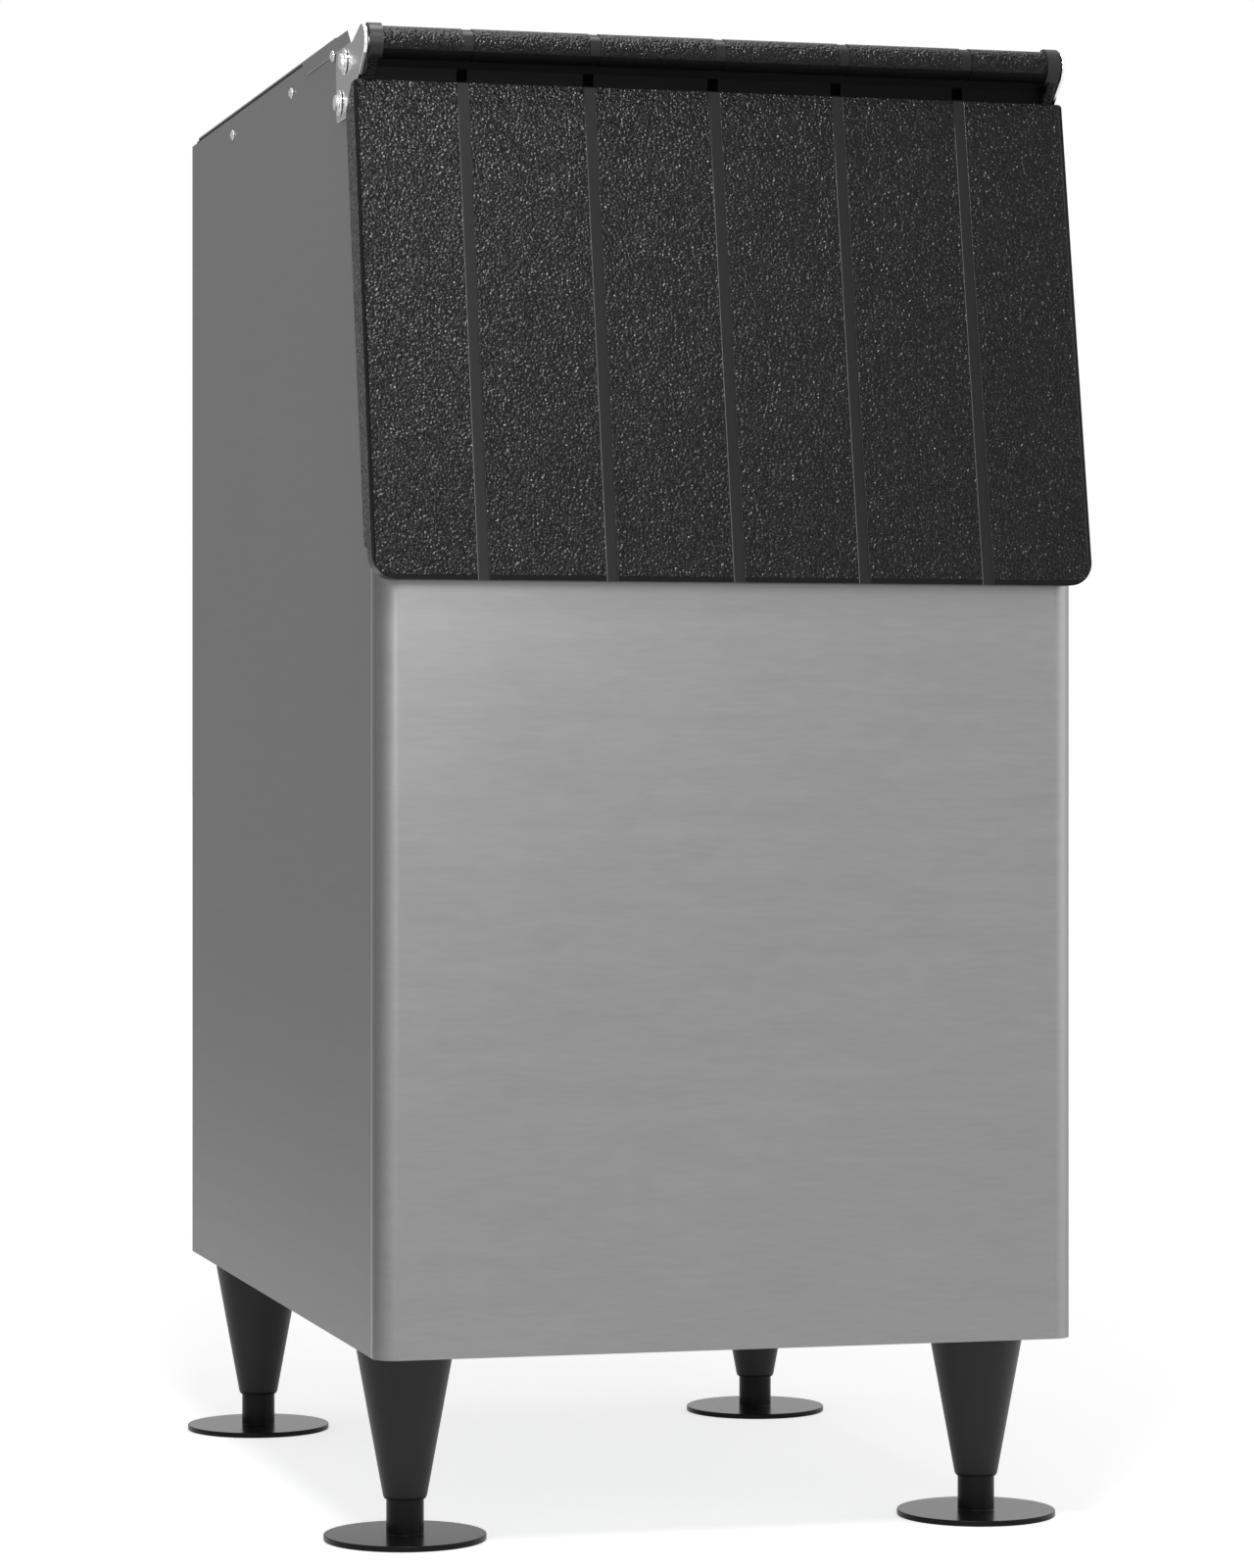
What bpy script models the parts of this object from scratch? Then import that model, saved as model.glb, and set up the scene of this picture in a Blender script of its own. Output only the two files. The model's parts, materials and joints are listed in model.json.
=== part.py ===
"""Ice storage bin: insulated cabinet on legs, with a lift-up front door and an open seat on top."""

import math

import bmesh
import bpy
from mathutils import Matrix

# Cabinet
body_width = 0.5588
body_depth = 0.8255
body_bottom_z = 0.1524
side_top_z = 1.1694
sheet = 0.0012
corner_radius = 0.017
seat_gap = 0.0003
seam_gap = 0.0003
rear_return = 0.015
rear_corner_radius = 0.003

# Slanted access face
face_height = 0.4239
face_slope_share = 0.204
face_top_drop = 0.0114
face_top_run = 0.0135
face_ledge_run = 0.0062
access_frame_thickness = 0.008
access_frame_start = 0.001
access_frame_top_gap = 0.0186
access_rim_low = 0.047
access_rim_high = 0.052
access_rim_side = 0.0504
access_hole_radius = 0.025
access_frame_radius = 0.003

# Liner and insulation
foam_thickness = 0.040
foam_floor_thickness = 0.045
liner_wall = 0.003
liner_knee_rise = 0.0045
liner_lip_rise = 0.0415
chamber_corner_radius = 0.020

# Top
cover_tip_run = 0.01785
cover_wedge_run = 0.00425
cover_low_drop = 0.0102
cover_length = 0.184
cover_flange_step = 0.018
frame_thickness = 0.0018
frame_front_step = 0.051
frame_rear_step = 0.0315
frame_radius = 0.006
drop_rim_side = 0.0744
drop_rim_front = 0.044
drop_rim_rear = 0.049
drop_hole_radius = 0.020
gasket_rear_step = 0.0195
gasket_inset = 0.0006
gasket_hole_grow = 0.007

# Door
door_side_overhang = 0.0074
door_wall = 0.003
door_sill_lap = 0.004
door_top_drop = 0.0276
door_line_run = 0.0073
door_line_drop = 0.0336
door_slope_share = 0.1885
door_corner_radius = 0.019
door_top_corner_radius = 0.003
door_edge_bevel = 0.0015
door_lip_gap = 0.003
flange_overlap = 0.006
flange_low_rise = 0.0245
flange_low_radius = 0.006
flange_high_drop = 0.022
flange_shoulder_run = 0.0135
flange_high_radius = 0.008
door_core_inset = 0.0083
door_core_drop = 0.0033
door_gasket_thickness = 0.004
door_gasket_width = 0.012
door_gasket_margin_low = 0.034
door_gasket_margin_high = 0.018
door_gasket_margin_side = 0.033
door_gasket_radius = 0.030
door_panel_thickness = 0.003
door_panel_start = 0.001
door_panel_lap = 0.002
door_panel_radius = 0.014

# Door hinge barrel, measured back and down from the pivot
pivot_standoff = 0.04025
pivot_drop = 0.0158
barrel_radius = 0.0125
barrel_end_gap = 0.0017
lug_radius = 0.0146
lug_width = 0.0103
arm_rear_high_run = 0.0115
arm_rear_high_drop = 0.0088
arm_front_high_run = -0.0104
arm_front_high_drop = 0.0092
arm_width = 0.0079
lug_foot_front_run = 0.0079
lug_foot_front_drop = 0.0286
lug_foot_inner_run = 0.0120
lug_foot_rear_run = 0.0300
lug_foot_drop = 0.0301
web_front_high_run = 0.0075
web_front_high_drop = 0.0104
web_crease_run = 0.0125
web_crease_drop = 0.0166
web_front_low_run = 0.0135
web_rear_run = 0.0235
web_rear_drop = 0.0136
web_root_run = 0.0070
web_root_drop = 0.0066
web_tail_run = 0.0120
top_plate_front_run = 0.0090
top_plate_rear_run = 0.0325
top_plate_low_drop = 0.0306
top_plate_high_drop = 0.0280
bush_radius = 0.0070
bush_bore_radius = 0.00456
bush_length = 0.020
bush_seat_radius = 0.0073
bush_seat_depth = 0.0225

# Door grooves
groove_end_margin = 0.0772
groove_width = 0.0083
groove_depth = 0.0010
groove_overrun = 0.012
groove_reach = 0.006
barrel_groove_depth = 0.0006
pocket_low_drop = 0.0261
pocket_high_drop = 0.0168
pocket_depth = 0.0025
pocket_front_run = 0.0050

# Hinge brackets, measured back and down from the pivot
bracket_thickness = 0.003
ear_radius = 0.0135
ear_top_angle = 74.0
ear_low_angle = 228.0
bracket_saddle_run = 0.0330
bracket_top_drop = -0.0048
bracket_rear_run = 0.0950
bracket_low_drop = 0.0506
bracket_corner_radius = 0.004
bracket_knee_run = 0.0360
bracket_knee_drop = 0.0466
pin_radius = 0.0045
pin_length = 0.0215
pin_chamfer = 0.0008
bolt_high_run = 0.0586
bolt_high_drop = 0.0074
bolt_low_run = 0.0784
bolt_low_drop = 0.0370
washer_radius = 0.0103
washer_thickness = 0.0013
washer_edge = 0.0004
washer_bore_radius = 0.0033
bolt_hex_radius = 0.0064
bolt_head_height = 0.0029
bolt_chamfer_run = 0.0012
bolt_chamfer_drop = 0.0007
bolt_shank_radius = 0.0030
bolt_shank_length = 0.0053
bolt_hole_radius = 0.0033

# Side screws
screw_rear_step = 0.2165
screw_rear_drop = 0.0163
screw_mid_step = 0.0505
screw_mid_drop = 0.0160
screw_front_step = 0.0551
screw_front_drop = 0.0111
screw_head_radius = 0.0045
screw_head_height = 0.0022
screw_rim_height = 0.0010
screw_crown_radius = 0.0028
screw_crown_drop = 0.0003
screw_shank_radius = 0.0020
screw_shank_length = 0.0009
screw_hole_radius = 0.0023

# Legs and feet
leg_side_inset = 0.0451
leg_front_inset = 0.1066
leg_rear_inset = 0.0922
leg_top_radius = 0.0377
leg_low_radius = 0.0172
leg_low_z = 0.0320
leg_low_chamfer = 0.0020
leg_low_bevel = 0.0010
leg_collar_height = 0.0060
leg_bore_radius = 0.0150
leg_bore_clearance = 0.0230
leg_stud_bore_radius = 0.0063
stud_radius = 0.0060
stud_length = 0.0300
stud_hole_radius = 0.0064
mount_plate_half = 0.0400
mount_plate_thickness = 0.0040
mount_plate_radius = 0.0040
foot_radius = 0.0635
foot_thickness = 0.0045
foot_edge = 0.0012
stem_radius = 0.0147
stem_reach = 0.0500
stem_chamfer = 0.0015

# Floor pan and drain
pan_thickness = 0.0015
drain_rear_step = 0.1255
drain_tube_radius = 0.0165
drain_bore_radius = 0.0120
drain_flange_radius = 0.0300
drain_flange_thickness = 0.0025
drain_tube_drop = 0.0324
drain_clearance = 0.0004
drain_nut_radius = 0.0250
drain_nut_height = 0.0100
strainer_radius = 0.0260
strainer_thickness = 0.0015
strainer_hole_radius = 0.0030
strainer_side_hole_radius = 0.0025
strainer_ring_radius = 0.0080

# Ice baffle
baffle_setback = 0.0695
baffle_axis_drop = 0.0294
baffle_side_gap = 0.0073
baffle_drop = 0.170
baffle_thickness = 0.0030
baffle_tube_radius = 0.0060
baffle_tube_start_angle = -60.0
baffle_tube_end_angle = 240.0
baffle_pin_radius = 0.0030
baffle_pin_end_gap = 0.0008
hanger_thickness = 0.0030
hanger_half = 0.0140
hanger_drop = 0.0170
hanger_radius = 0.0050
hanger_bore_radius = 0.00308

# Facet counts and hexagon
arc_steps = 6
round_steps = 36
small_round_steps = 24
hex_sides = 6
strainer_holes = 6
smooth_angle = math.radians(32)
bevel_least_angle = math.radians(50)


sill_z = side_top_z - face_height


def face_y(z):
    """Depth of the cabinet's slanted face at a height."""
    return (z - sill_z) * face_slope_share


# Widths
half_width = body_width / 2
inner_half_width = half_width - sheet
liner_half_width = inner_half_width - foam_thickness - 2 * seat_gap
access_hole_half_width = half_width - access_rim_side
drop_hole_half_width = half_width - drop_rim_side
bracket_inner_x = half_width + seat_gap
bracket_outer_x = bracket_inner_x + bracket_thickness
washer_inner_x = bracket_outer_x + seat_gap
bolt_seat_x = washer_inner_x + washer_thickness + seat_gap
cover_flange_outer_x = half_width + seat_gap + sheet
leg_x = half_width - leg_side_inset
door_half_width = half_width + door_side_overhang
door_core_half_width = door_half_width - door_core_inset
door_gasket_half_width = access_hole_half_width + door_gasket_margin_side
barrel_half_length = bracket_inner_x - barrel_end_gap
groove_spacing = (barrel_half_length - groove_end_margin) / 2

# Heights
pan_top_z = body_bottom_z + pan_thickness
foam_low_z = pan_top_z + mount_plate_thickness + 2 * seat_gap
liner_low_z = foam_low_z + foam_floor_thickness + seat_gap
liner_floor_z = liner_low_z + liner_wall
liner_knee_z = sill_z + liner_knee_rise
liner_lip_z = sill_z + liner_lip_rise
cover_low_face_z = side_top_z + seat_gap
cover_top_z = cover_low_face_z + sheet
cover_low_z = side_top_z - cover_low_drop
frame_low_z = cover_top_z + seat_gap
total_height = frame_low_z + frame_thickness
face_top_z = side_top_z - face_top_drop
pivot_z = side_top_z - pivot_drop
door_bottom_z = sill_z - door_sill_lap
door_top_z = pivot_z - door_top_drop
door_line_z = pivot_z - door_line_drop
door_core_top_z = door_top_z - door_core_drop
flange_low_z = door_bottom_z + flange_low_rise
flange_high_z = door_top_z - flange_high_drop
leg_top_z = body_bottom_z - seat_gap
stem_top_z = leg_low_z + stem_reach
leg_bore_top_z = stem_top_z + leg_bore_clearance
drain_low_z = body_bottom_z - drain_tube_drop
baffle_z = side_top_z - baffle_axis_drop

# Depths
inner_rear_y = body_depth - 2 * sheet - seat_gap
liner_front_y = sheet + foam_thickness + 2 * seat_gap
liner_rear_y = inner_rear_y - foam_thickness - 2 * seat_gap
cover_tip_y = face_y(face_top_z) + cover_tip_run
cover_wedge_y = face_y(face_top_z) + cover_wedge_run
cover_rear_y = cover_tip_y + cover_length
cover_flange_rear_y = cover_rear_y - cover_flange_step
frame_front_y = cover_tip_y + frame_front_step
frame_rear_y = body_depth - frame_rear_step
drop_hole_front_y = cover_rear_y + drop_rim_front
drop_hole_rear_y = frame_rear_y - drop_rim_rear
gasket_rear_y = body_depth - gasket_rear_step
pivot_y = face_y(pivot_z) - pivot_standoff
door_line_y = pivot_y + door_line_run
leg_rear_y = body_depth - leg_rear_inset
drain_y = body_depth - drain_rear_step
baffle_y = face_y(baffle_z) + baffle_setback

# Lengths up the slanted face, from the sill
face_angle = math.atan(face_slope_share)
door_angle = math.atan(door_slope_share)
frame_back_run = (access_frame_thickness + seat_gap) / math.cos(face_angle)
access_frame_end = (side_top_z - sill_z) / math.cos(face_angle) - access_frame_top_gap
access_hole_start = access_frame_start + access_rim_low
access_hole_end = access_frame_end - access_rim_high
door_gasket_start = access_hole_start - door_gasket_margin_low
door_gasket_end = access_hole_end + door_gasket_margin_high
door_panel_end = door_gasket_end + door_panel_lap


def door_front_y(z):
    """Depth of the door's front plane at a height."""
    return door_line_y + (z - door_line_z) * door_slope_share


def door_rear_y(z):
    """Depth of the rear edge of the door's side flanges at a height."""
    return face_y(z) + flange_overlap


def by_pivot(points):
    """Places given as (run, drop, ...) from the door's pivot, as (y, z, ...)."""
    return [(pivot_y + run, pivot_z - drop, *rest) for run, drop, *rest in points]


middle_y = (body_depth + door_front_y(door_bottom_z)) / 2


# Clean start
for item in list(bpy.data.objects):
    bpy.data.objects.remove(item, do_unlink=True)
parts = bpy.data.collections.new("ice_storage_bin")
cutters = bpy.data.collections.new("cutters")
for group in (parts, cutters):
    bpy.context.scene.collection.children.link(group)


def arc(centre_u, centre_v, radius, start, end, steps):
    """Points along a circle between two angles in degrees."""
    turn = [math.radians(start + (end - start) * i / steps) for i in range(steps + 1)]
    return [(centre_u + radius * math.cos(a), centre_v + radius * math.sin(a)) for a in turn]


def ring_points(centre_u, centre_v, radius, steps):
    """Points all round a circle."""
    return arc(centre_u, centre_v, radius, 0, 360, steps)[:-1]


def rounded(corners):
    """Outline through corners given as (u, v, radius), each turned with its radius."""
    outline = []
    count = len(corners)
    for i, (u, v, radius) in enumerate(corners):
        if radius == 0:
            outline.append((u, v))
            continue
        before, after = corners[i - 1], corners[(i + 1) % count]
        to_before = (before[0] - u, before[1] - v)
        to_after = (after[0] - u, after[1] - v)
        size_b, size_a = math.hypot(*to_before), math.hypot(*to_after)
        ub = (to_before[0] / size_b, to_before[1] / size_b)
        ua = (to_after[0] / size_a, to_after[1] / size_a)
        half = math.acos(max(-1, min(1, ub[0] * ua[0] + ub[1] * ua[1]))) / 2
        run = radius / math.tan(half)
        bisect = (ub[0] + ua[0], ub[1] + ua[1])
        size = math.hypot(*bisect)
        reach = radius / math.sin(half)
        centre = (u + bisect[0] / size * reach, v + bisect[1] / size * reach)
        first = math.atan2(v + ub[1] * run - centre[1], u + ub[0] * run - centre[0])
        last = math.atan2(v + ua[1] * run - centre[1], u + ua[0] * run - centre[0])
        sweep = (last - first + math.pi) % (2 * math.pi) - math.pi
        for k in range(arc_steps + 1):
            a = first + sweep * k / arc_steps
            outline.append((centre[0] + radius * math.cos(a), centre[1] + radius * math.sin(a)))
    return outline


def box_outline(low_u, high_u, low_v, high_v, radius):
    """Rounded rectangle."""
    return rounded([
        (low_u, low_v, radius), (high_u, low_v, radius), (high_u, high_v, radius), (low_u, high_v, radius)])


AXES = {
    "X": Matrix(((0, 0, 1, 0), (1, 0, 0, 0), (0, 1, 0, 0), (0, 0, 0, 1))),
    "Y": Matrix(((1, 0, 0, 0), (0, 0, -1, 0), (0, 1, 0, 0), (0, 0, 0, 1))),
    "Z": Matrix.Identity(4),
}


def add(name, mesh, group):
    """New object in a collection, shaded smooth but for its sharp edges."""
    mesh.shade_smooth()
    mesh.set_sharp_from_angle(angle=smooth_angle)
    thing = bpy.data.objects.new(name, mesh)
    group.objects.link(thing)
    if group == cutters:
        thing.hide_render = True
        thing.display_type = "WIRE"
    return thing


def extruded(name, outlines, low, high, axis, group=parts):
    """Flat outlines extruded between two levels: X takes (y, z), Y takes (x, z), Z takes (x, y)."""
    curve = bpy.data.curves.new(name, "CURVE")
    curve.dimensions = "2D"
    curve.fill_mode = "BOTH"
    curve.extrude = (high - low) / 2
    for outline in outlines:
        spline = curve.splines.new("POLY")
        spline.points.add(len(outline) - 1)
        for point, (u, v) in zip(spline.points, outline):
            point.co = (u, v, 0, 1)
        spline.use_cyclic_u = True
    source = bpy.data.objects.new(name + "_outline", curve)
    bpy.context.scene.collection.objects.link(source)
    mesh = bpy.data.meshes.new_from_object(source)
    bpy.data.objects.remove(source, do_unlink=True)
    mesh.name = name
    level = (low + high) / 2 if axis != "Y" else -(low + high) / 2
    mesh.transform(AXES[axis] @ Matrix.Translation((0, 0, level)))
    work = bmesh.new()
    work.from_mesh(mesh)
    bmesh.ops.remove_doubles(work, verts=work.verts, dist=seat_gap / 100)
    bmesh.ops.recalc_face_normals(work, faces=work.faces)
    work.to_mesh(mesh)
    work.free()
    return add(name, mesh, group)


def turned(name, profile, steps, closed=False, group=parts):
    """Profile of (radius, height) points turned about Z."""
    outline = bpy.data.meshes.new(name + "_outline")
    edges = [(i, i + 1) for i in range(len(profile) - 1)]
    if closed:
        edges.append((len(profile) - 1, 0))
    outline.from_pydata([(r, 0, z) for r, z in profile], edges, [])
    source = bpy.data.objects.new(name + "_outline", outline)
    bpy.context.scene.collection.objects.link(source)
    screw = source.modifiers.new("turn", "SCREW")
    screw.axis = "Z"
    screw.angle = 2 * math.pi
    screw.steps = steps
    screw.render_steps = steps
    screw.use_merge_vertices = True
    screw.merge_threshold = seat_gap / 100
    mesh = bpy.data.meshes.new_from_object(source.evaluated_get(bpy.context.evaluated_depsgraph_get()))
    bpy.data.objects.remove(source, do_unlink=True)
    mesh.name = name
    return add(name, mesh, group)


def combine(target, tool, operation="DIFFERENCE"):
    """Boolean of a target with a cutter or a joined piece."""
    step = target.modifiers.new("shape", "BOOLEAN")
    step.operation = operation
    step.object = tool
    step.solver = "EXACT"
    return target


def along_x(thing, x, y, z, side):
    """Lays a turned piece along X with its top facing outwards on one side."""
    thing.rotation_euler = (0, side * math.pi / 2, 0)
    thing.location = (x, y, z)
    return thing


def finish(thing, colour, roughness, metallic):
    """Own surface for one piece."""
    surface = bpy.data.materials.new(thing.name)
    surface.use_nodes = True
    shader = surface.node_tree.nodes["Principled BSDF"]
    shader.inputs["Base Color"].default_value = (*colour, 1)
    shader.inputs["Roughness"].default_value = roughness
    shader.inputs["Metallic"].default_value = metallic
    thing.data.materials.clear()
    thing.data.materials.append(surface)
    return thing


STEEL = ((0.55, 0.55, 0.56), 0.35, 1.0)
CHROME = ((0.75, 0.75, 0.76), 0.15, 1.0)
ZINC = ((0.50, 0.51, 0.52), 0.45, 1.0)
CHARCOAL = ((0.035, 0.035, 0.037), 0.55, 0.0)
BLACK = ((0.020, 0.020, 0.022), 0.45, 0.0)
RUBBER = ((0.015, 0.015, 0.015), 0.8, 0.0)
LINER = ((0.82, 0.84, 0.86), 0.4, 0.0)
FOAM = ((0.80, 0.74, 0.50), 0.9, 0.0)
ACETAL = ((0.85, 0.85, 0.82), 0.4, 0.0)
LEG = ((0.030, 0.030, 0.030), 0.35, 0.0)


# Wedge in front of the slanted face, taken off the cabinet pieces
far_front = -body_depth
over_top = 2 * total_height
ledge_y = face_y(face_top_z) + face_ledge_run
face_wedge = extruded("face_wedge", [[
    (far_front, sill_z), (0, sill_z), (face_y(face_top_z), face_top_z), (ledge_y, face_top_z),
    (ledge_y + face_top_run, side_top_z), (ledge_y + face_top_run, over_top),
    (far_front, over_top)]], -body_width, body_width, "X", cutters)

# Front panel, wrapped round both front corners
wrap_y = corner_radius
outer_wrap = arc(-half_width + corner_radius, corner_radius, corner_radius, 180, 270, arc_steps)
outer_wrap += arc(half_width - corner_radius, corner_radius, corner_radius, 270, 360, arc_steps)
inner_radius = corner_radius - sheet
inner_wrap = arc(half_width - corner_radius, corner_radius, inner_radius, 360, 270, arc_steps)
inner_wrap += arc(-half_width + corner_radius, corner_radius, inner_radius, 270, 180, arc_steps)
ear_height = wrap_y / face_slope_share
front_panel = extruded("front_panel", [outer_wrap + inner_wrap], body_bottom_z, sill_z + ear_height, "Z")
combine(front_panel, face_wedge)
finish(front_panel, *STEEL)

# Side panels with a rear return
bolt_spots = by_pivot([(bolt_high_run, bolt_high_drop), (bolt_low_run, bolt_low_drop)])
screw_spots = [
    (body_depth - screw_rear_step, side_top_z - screw_rear_drop),
    (cover_rear_y + screw_mid_step, side_top_z - screw_mid_drop),
    (cover_tip_y + screw_front_step, side_top_z - screw_front_drop)]
bolt_bores = [ring_points(y, z, bolt_hole_radius, small_round_steps) for y, z in bolt_spots]
screw_bores = [ring_points(y, z, screw_hole_radius, small_round_steps) for y, z in screw_spots]
side_drill = extruded("side_drill", bolt_bores + screw_bores, -body_width, body_width, "X", cutters)
for name, side in (("left_side_panel", -1), ("right_side_panel", 1)):
    outer = half_width * side
    inner = inner_half_width * side
    back = body_depth
    plan = rounded([
        (outer, wrap_y + seam_gap, 0), (outer, back, rear_corner_radius),
        (outer - side * rear_return, back, 0), (outer - side * rear_return, back - sheet, 0),
        (inner, back - sheet, rear_corner_radius - sheet), (inner, wrap_y + seam_gap, 0)])
    panel = extruded(name, [plan], body_bottom_z, side_top_z, "Z")
    combine(panel, face_wedge)
    combine(panel, side_drill)
    finish(panel, *STEEL)

# Rear panel inside the returns
rear_x = inner_half_width - seat_gap
rear_edge_x = rear_x - rear_corner_radius + sheet
rear_outline = box_outline(-rear_edge_x, rear_edge_x, body_bottom_z, side_top_z, sheet)
rear_panel = extruded("rear_panel", [rear_outline], inner_rear_y, inner_rear_y + sheet, "Y")
finish(rear_panel, *ZINC)

# Floor pan with stud and drain holes
leg_spots = {
    "front_left": (-leg_x, leg_front_inset), "front_right": (leg_x, leg_front_inset),
    "rear_left": (-leg_x, leg_rear_y), "rear_right": (leg_x, leg_rear_y)}
pan_front_y = sheet + seat_gap
pan_rear_y = inner_rear_y - seat_gap
pan_outlines = [box_outline(-rear_x, rear_x, pan_front_y, pan_rear_y, inner_radius)]
pan_outlines += [ring_points(x, y, stud_hole_radius, small_round_steps) for x, y in leg_spots.values()]
drain_hole = ring_points(0, drain_y, drain_tube_radius + drain_clearance, round_steps)
pan_outlines.append(drain_hole)
bottom_pan = extruded("bottom_pan", pan_outlines, body_bottom_z, pan_top_z, "Z")
finish(bottom_pan, *ZINC)

# Liner tub, open on top and along the slanted face
lip_y = face_y(liner_lip_z) + frame_back_run
top_front_y = face_y(face_top_z) + frame_back_run
liner_outline = rounded([
    (liner_front_y, liner_low_z, chamber_corner_radius), (liner_rear_y, liner_low_z, chamber_corner_radius),
    (liner_rear_y, side_top_z, 0), (top_front_y + face_top_run, side_top_z, 0), (top_front_y, face_top_z, 0),
    (lip_y, liner_lip_z, 0), (liner_front_y, liner_knee_z, 0)])
liner = extruded("liner_tub", [liner_outline], -liner_half_width, liner_half_width, "X")
chamber_radius = chamber_corner_radius - liner_wall
chamber_front_y = liner_front_y + liner_wall
chamber_rear_y = liner_rear_y - liner_wall
chamber_half_width = liner_half_width - liner_wall
chamber_lip_z = liner_lip_z + liner_wall
chamber_outline = rounded([
    (chamber_front_y, liner_floor_z, chamber_radius), (chamber_rear_y, liner_floor_z, chamber_radius),
    (chamber_rear_y, over_top, 0), (far_front, over_top, 0), (far_front, chamber_lip_z, 0),
    (lip_y + liner_wall, chamber_lip_z, 0), (chamber_front_y, liner_knee_z + liner_wall, 0)])
chamber = extruded("chamber", [chamber_outline], -chamber_half_width, chamber_half_width, "X", cutters)
combine(liner, chamber)
drain_drill = extruded("drain_drill", [drain_hole], 0, sill_z, "Z", cutters)
combine(liner, drain_drill)
finish(liner, *LINER)

# Insulation slabs
foam_front_y = sheet + seat_gap
foam_rear_y = inner_rear_y - seat_gap
foam_sill_z = sill_z + (foam_front_y - frame_back_run) / face_slope_share
side_outline = rounded([
    (foam_front_y, foam_low_z, 0), (foam_rear_y, foam_low_z, 0), (foam_rear_y, side_top_z, 0),
    (top_front_y + face_top_run, side_top_z, 0), (top_front_y, face_top_z, 0),
    (foam_front_y, foam_sill_z, 0)])
foam_outer_x = inner_half_width - seat_gap
foam_inner_x = liner_half_width + seat_gap
corner_block = extruded("corner_block", [box_outline(-foam_outer_x, foam_outer_x, foam_front_y, body_depth,
                                                     inner_radius - seat_gap)], 0, over_top, "Z", cutters)
for name, low, high in (("insulation_left", -foam_outer_x, -foam_inner_x),
                        ("insulation_right", foam_inner_x, foam_outer_x)):
    slab = extruded(name, [side_outline], low, high, "X")
    combine(slab, corner_block, "INTERSECT")
    finish(slab, *FOAM)
foam_end_x = foam_inner_x - seat_gap
foam_back_y = liner_front_y - seat_gap
front_foam = extruded("insulation_front", [[
    (foam_front_y, foam_low_z), (foam_back_y, foam_low_z), (foam_back_y, liner_knee_z),
    (lip_y - seat_gap, liner_lip_z - seat_gap), (face_y(foam_sill_z) + frame_back_run, foam_sill_z)]],
    -foam_end_x, foam_end_x, "X")
finish(front_foam, *FOAM)
rear_foam = extruded("insulation_rear", [box_outline(-foam_end_x, foam_end_x, foam_low_z, side_top_z,
                                                     liner_wall)], liner_rear_y + seat_gap, foam_rear_y, "Y")
finish(rear_foam, *FOAM)
floor_foam = extruded("insulation_floor", [box_outline(-foam_end_x, foam_end_x, liner_front_y, liner_rear_y,
                                                       liner_wall), drain_hole],
                      foam_low_z, liner_low_z - seat_gap, "Z")
finish(floor_foam, *FOAM)


def on_face(thing, angle=face_angle):
    """Tilts a piece built upright onto the slanted face."""
    thing.rotation_euler = (-angle, 0, 0)
    thing.location = (0, 0, sill_z)
    return thing


# Frame round the access opening
frame_x = inner_half_width - seat_gap
access_frame = extruded("access_frame", [
    box_outline(-frame_x, frame_x, access_frame_start, access_frame_end, access_frame_radius),
    box_outline(-access_hole_half_width, access_hole_half_width, access_hole_start, access_hole_end,
                access_hole_radius)], 0, access_frame_thickness, "Y")
on_face(access_frame)
combine(access_frame, corner_block, "INTERSECT")
finish(access_frame, *LINER)

# Cover over the front of the top, with a folded lip and side flanges
cover_top = extruded("top_front_cover", [[
    (cover_rear_y, cover_low_face_z), (cover_rear_y, cover_top_z), (cover_tip_y, cover_top_z),
    (cover_wedge_y, cover_low_z), (cover_wedge_y + sheet, cover_low_z),
    (cover_tip_y + sheet / 2, cover_low_face_z)]], -cover_flange_outer_x, cover_flange_outer_x, "X")
for name, low, high in (("cover_flange_left", -cover_flange_outer_x, -half_width - seat_gap),
                        ("cover_flange_right", half_width + seat_gap, cover_flange_outer_x)):
    flange = extruded(name, [[
        (cover_rear_y, cover_low_face_z + sheet / 2), (cover_tip_y + sheet, cover_low_face_z + sheet / 2),
        (cover_wedge_y + sheet / 2, cover_low_z + sheet / 4), (cover_flange_rear_y, cover_low_z)]],
        low, high, "X", cutters)
    combine(cover_top, flange, "UNION")
combine(cover_top, side_drill)
finish(cover_top, *STEEL)

# Seat frame and gasket round the ice drop opening
frame = extruded("top_frame", [
    box_outline(-half_width, half_width, frame_front_y, frame_rear_y, frame_radius),
    box_outline(-drop_hole_half_width, drop_hole_half_width, drop_hole_front_y, drop_hole_rear_y,
                drop_hole_radius)], frame_low_z, total_height, "Z")
finish(frame, *STEEL)
gasket_x = half_width - gasket_inset
gasket_hole_x = drop_hole_half_width + gasket_hole_grow
gasket = extruded("top_gasket", [
    box_outline(-gasket_x, gasket_x, cover_rear_y + seat_gap, gasket_rear_y, frame_radius),
    box_outline(-gasket_hole_x, gasket_hole_x, drop_hole_front_y - gasket_hole_grow,
                drop_hole_rear_y + gasket_hole_grow, drop_hole_radius + gasket_hole_grow)],
    cover_low_face_z, cover_top_z, "Z")
finish(gasket, *RUBBER)

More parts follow.
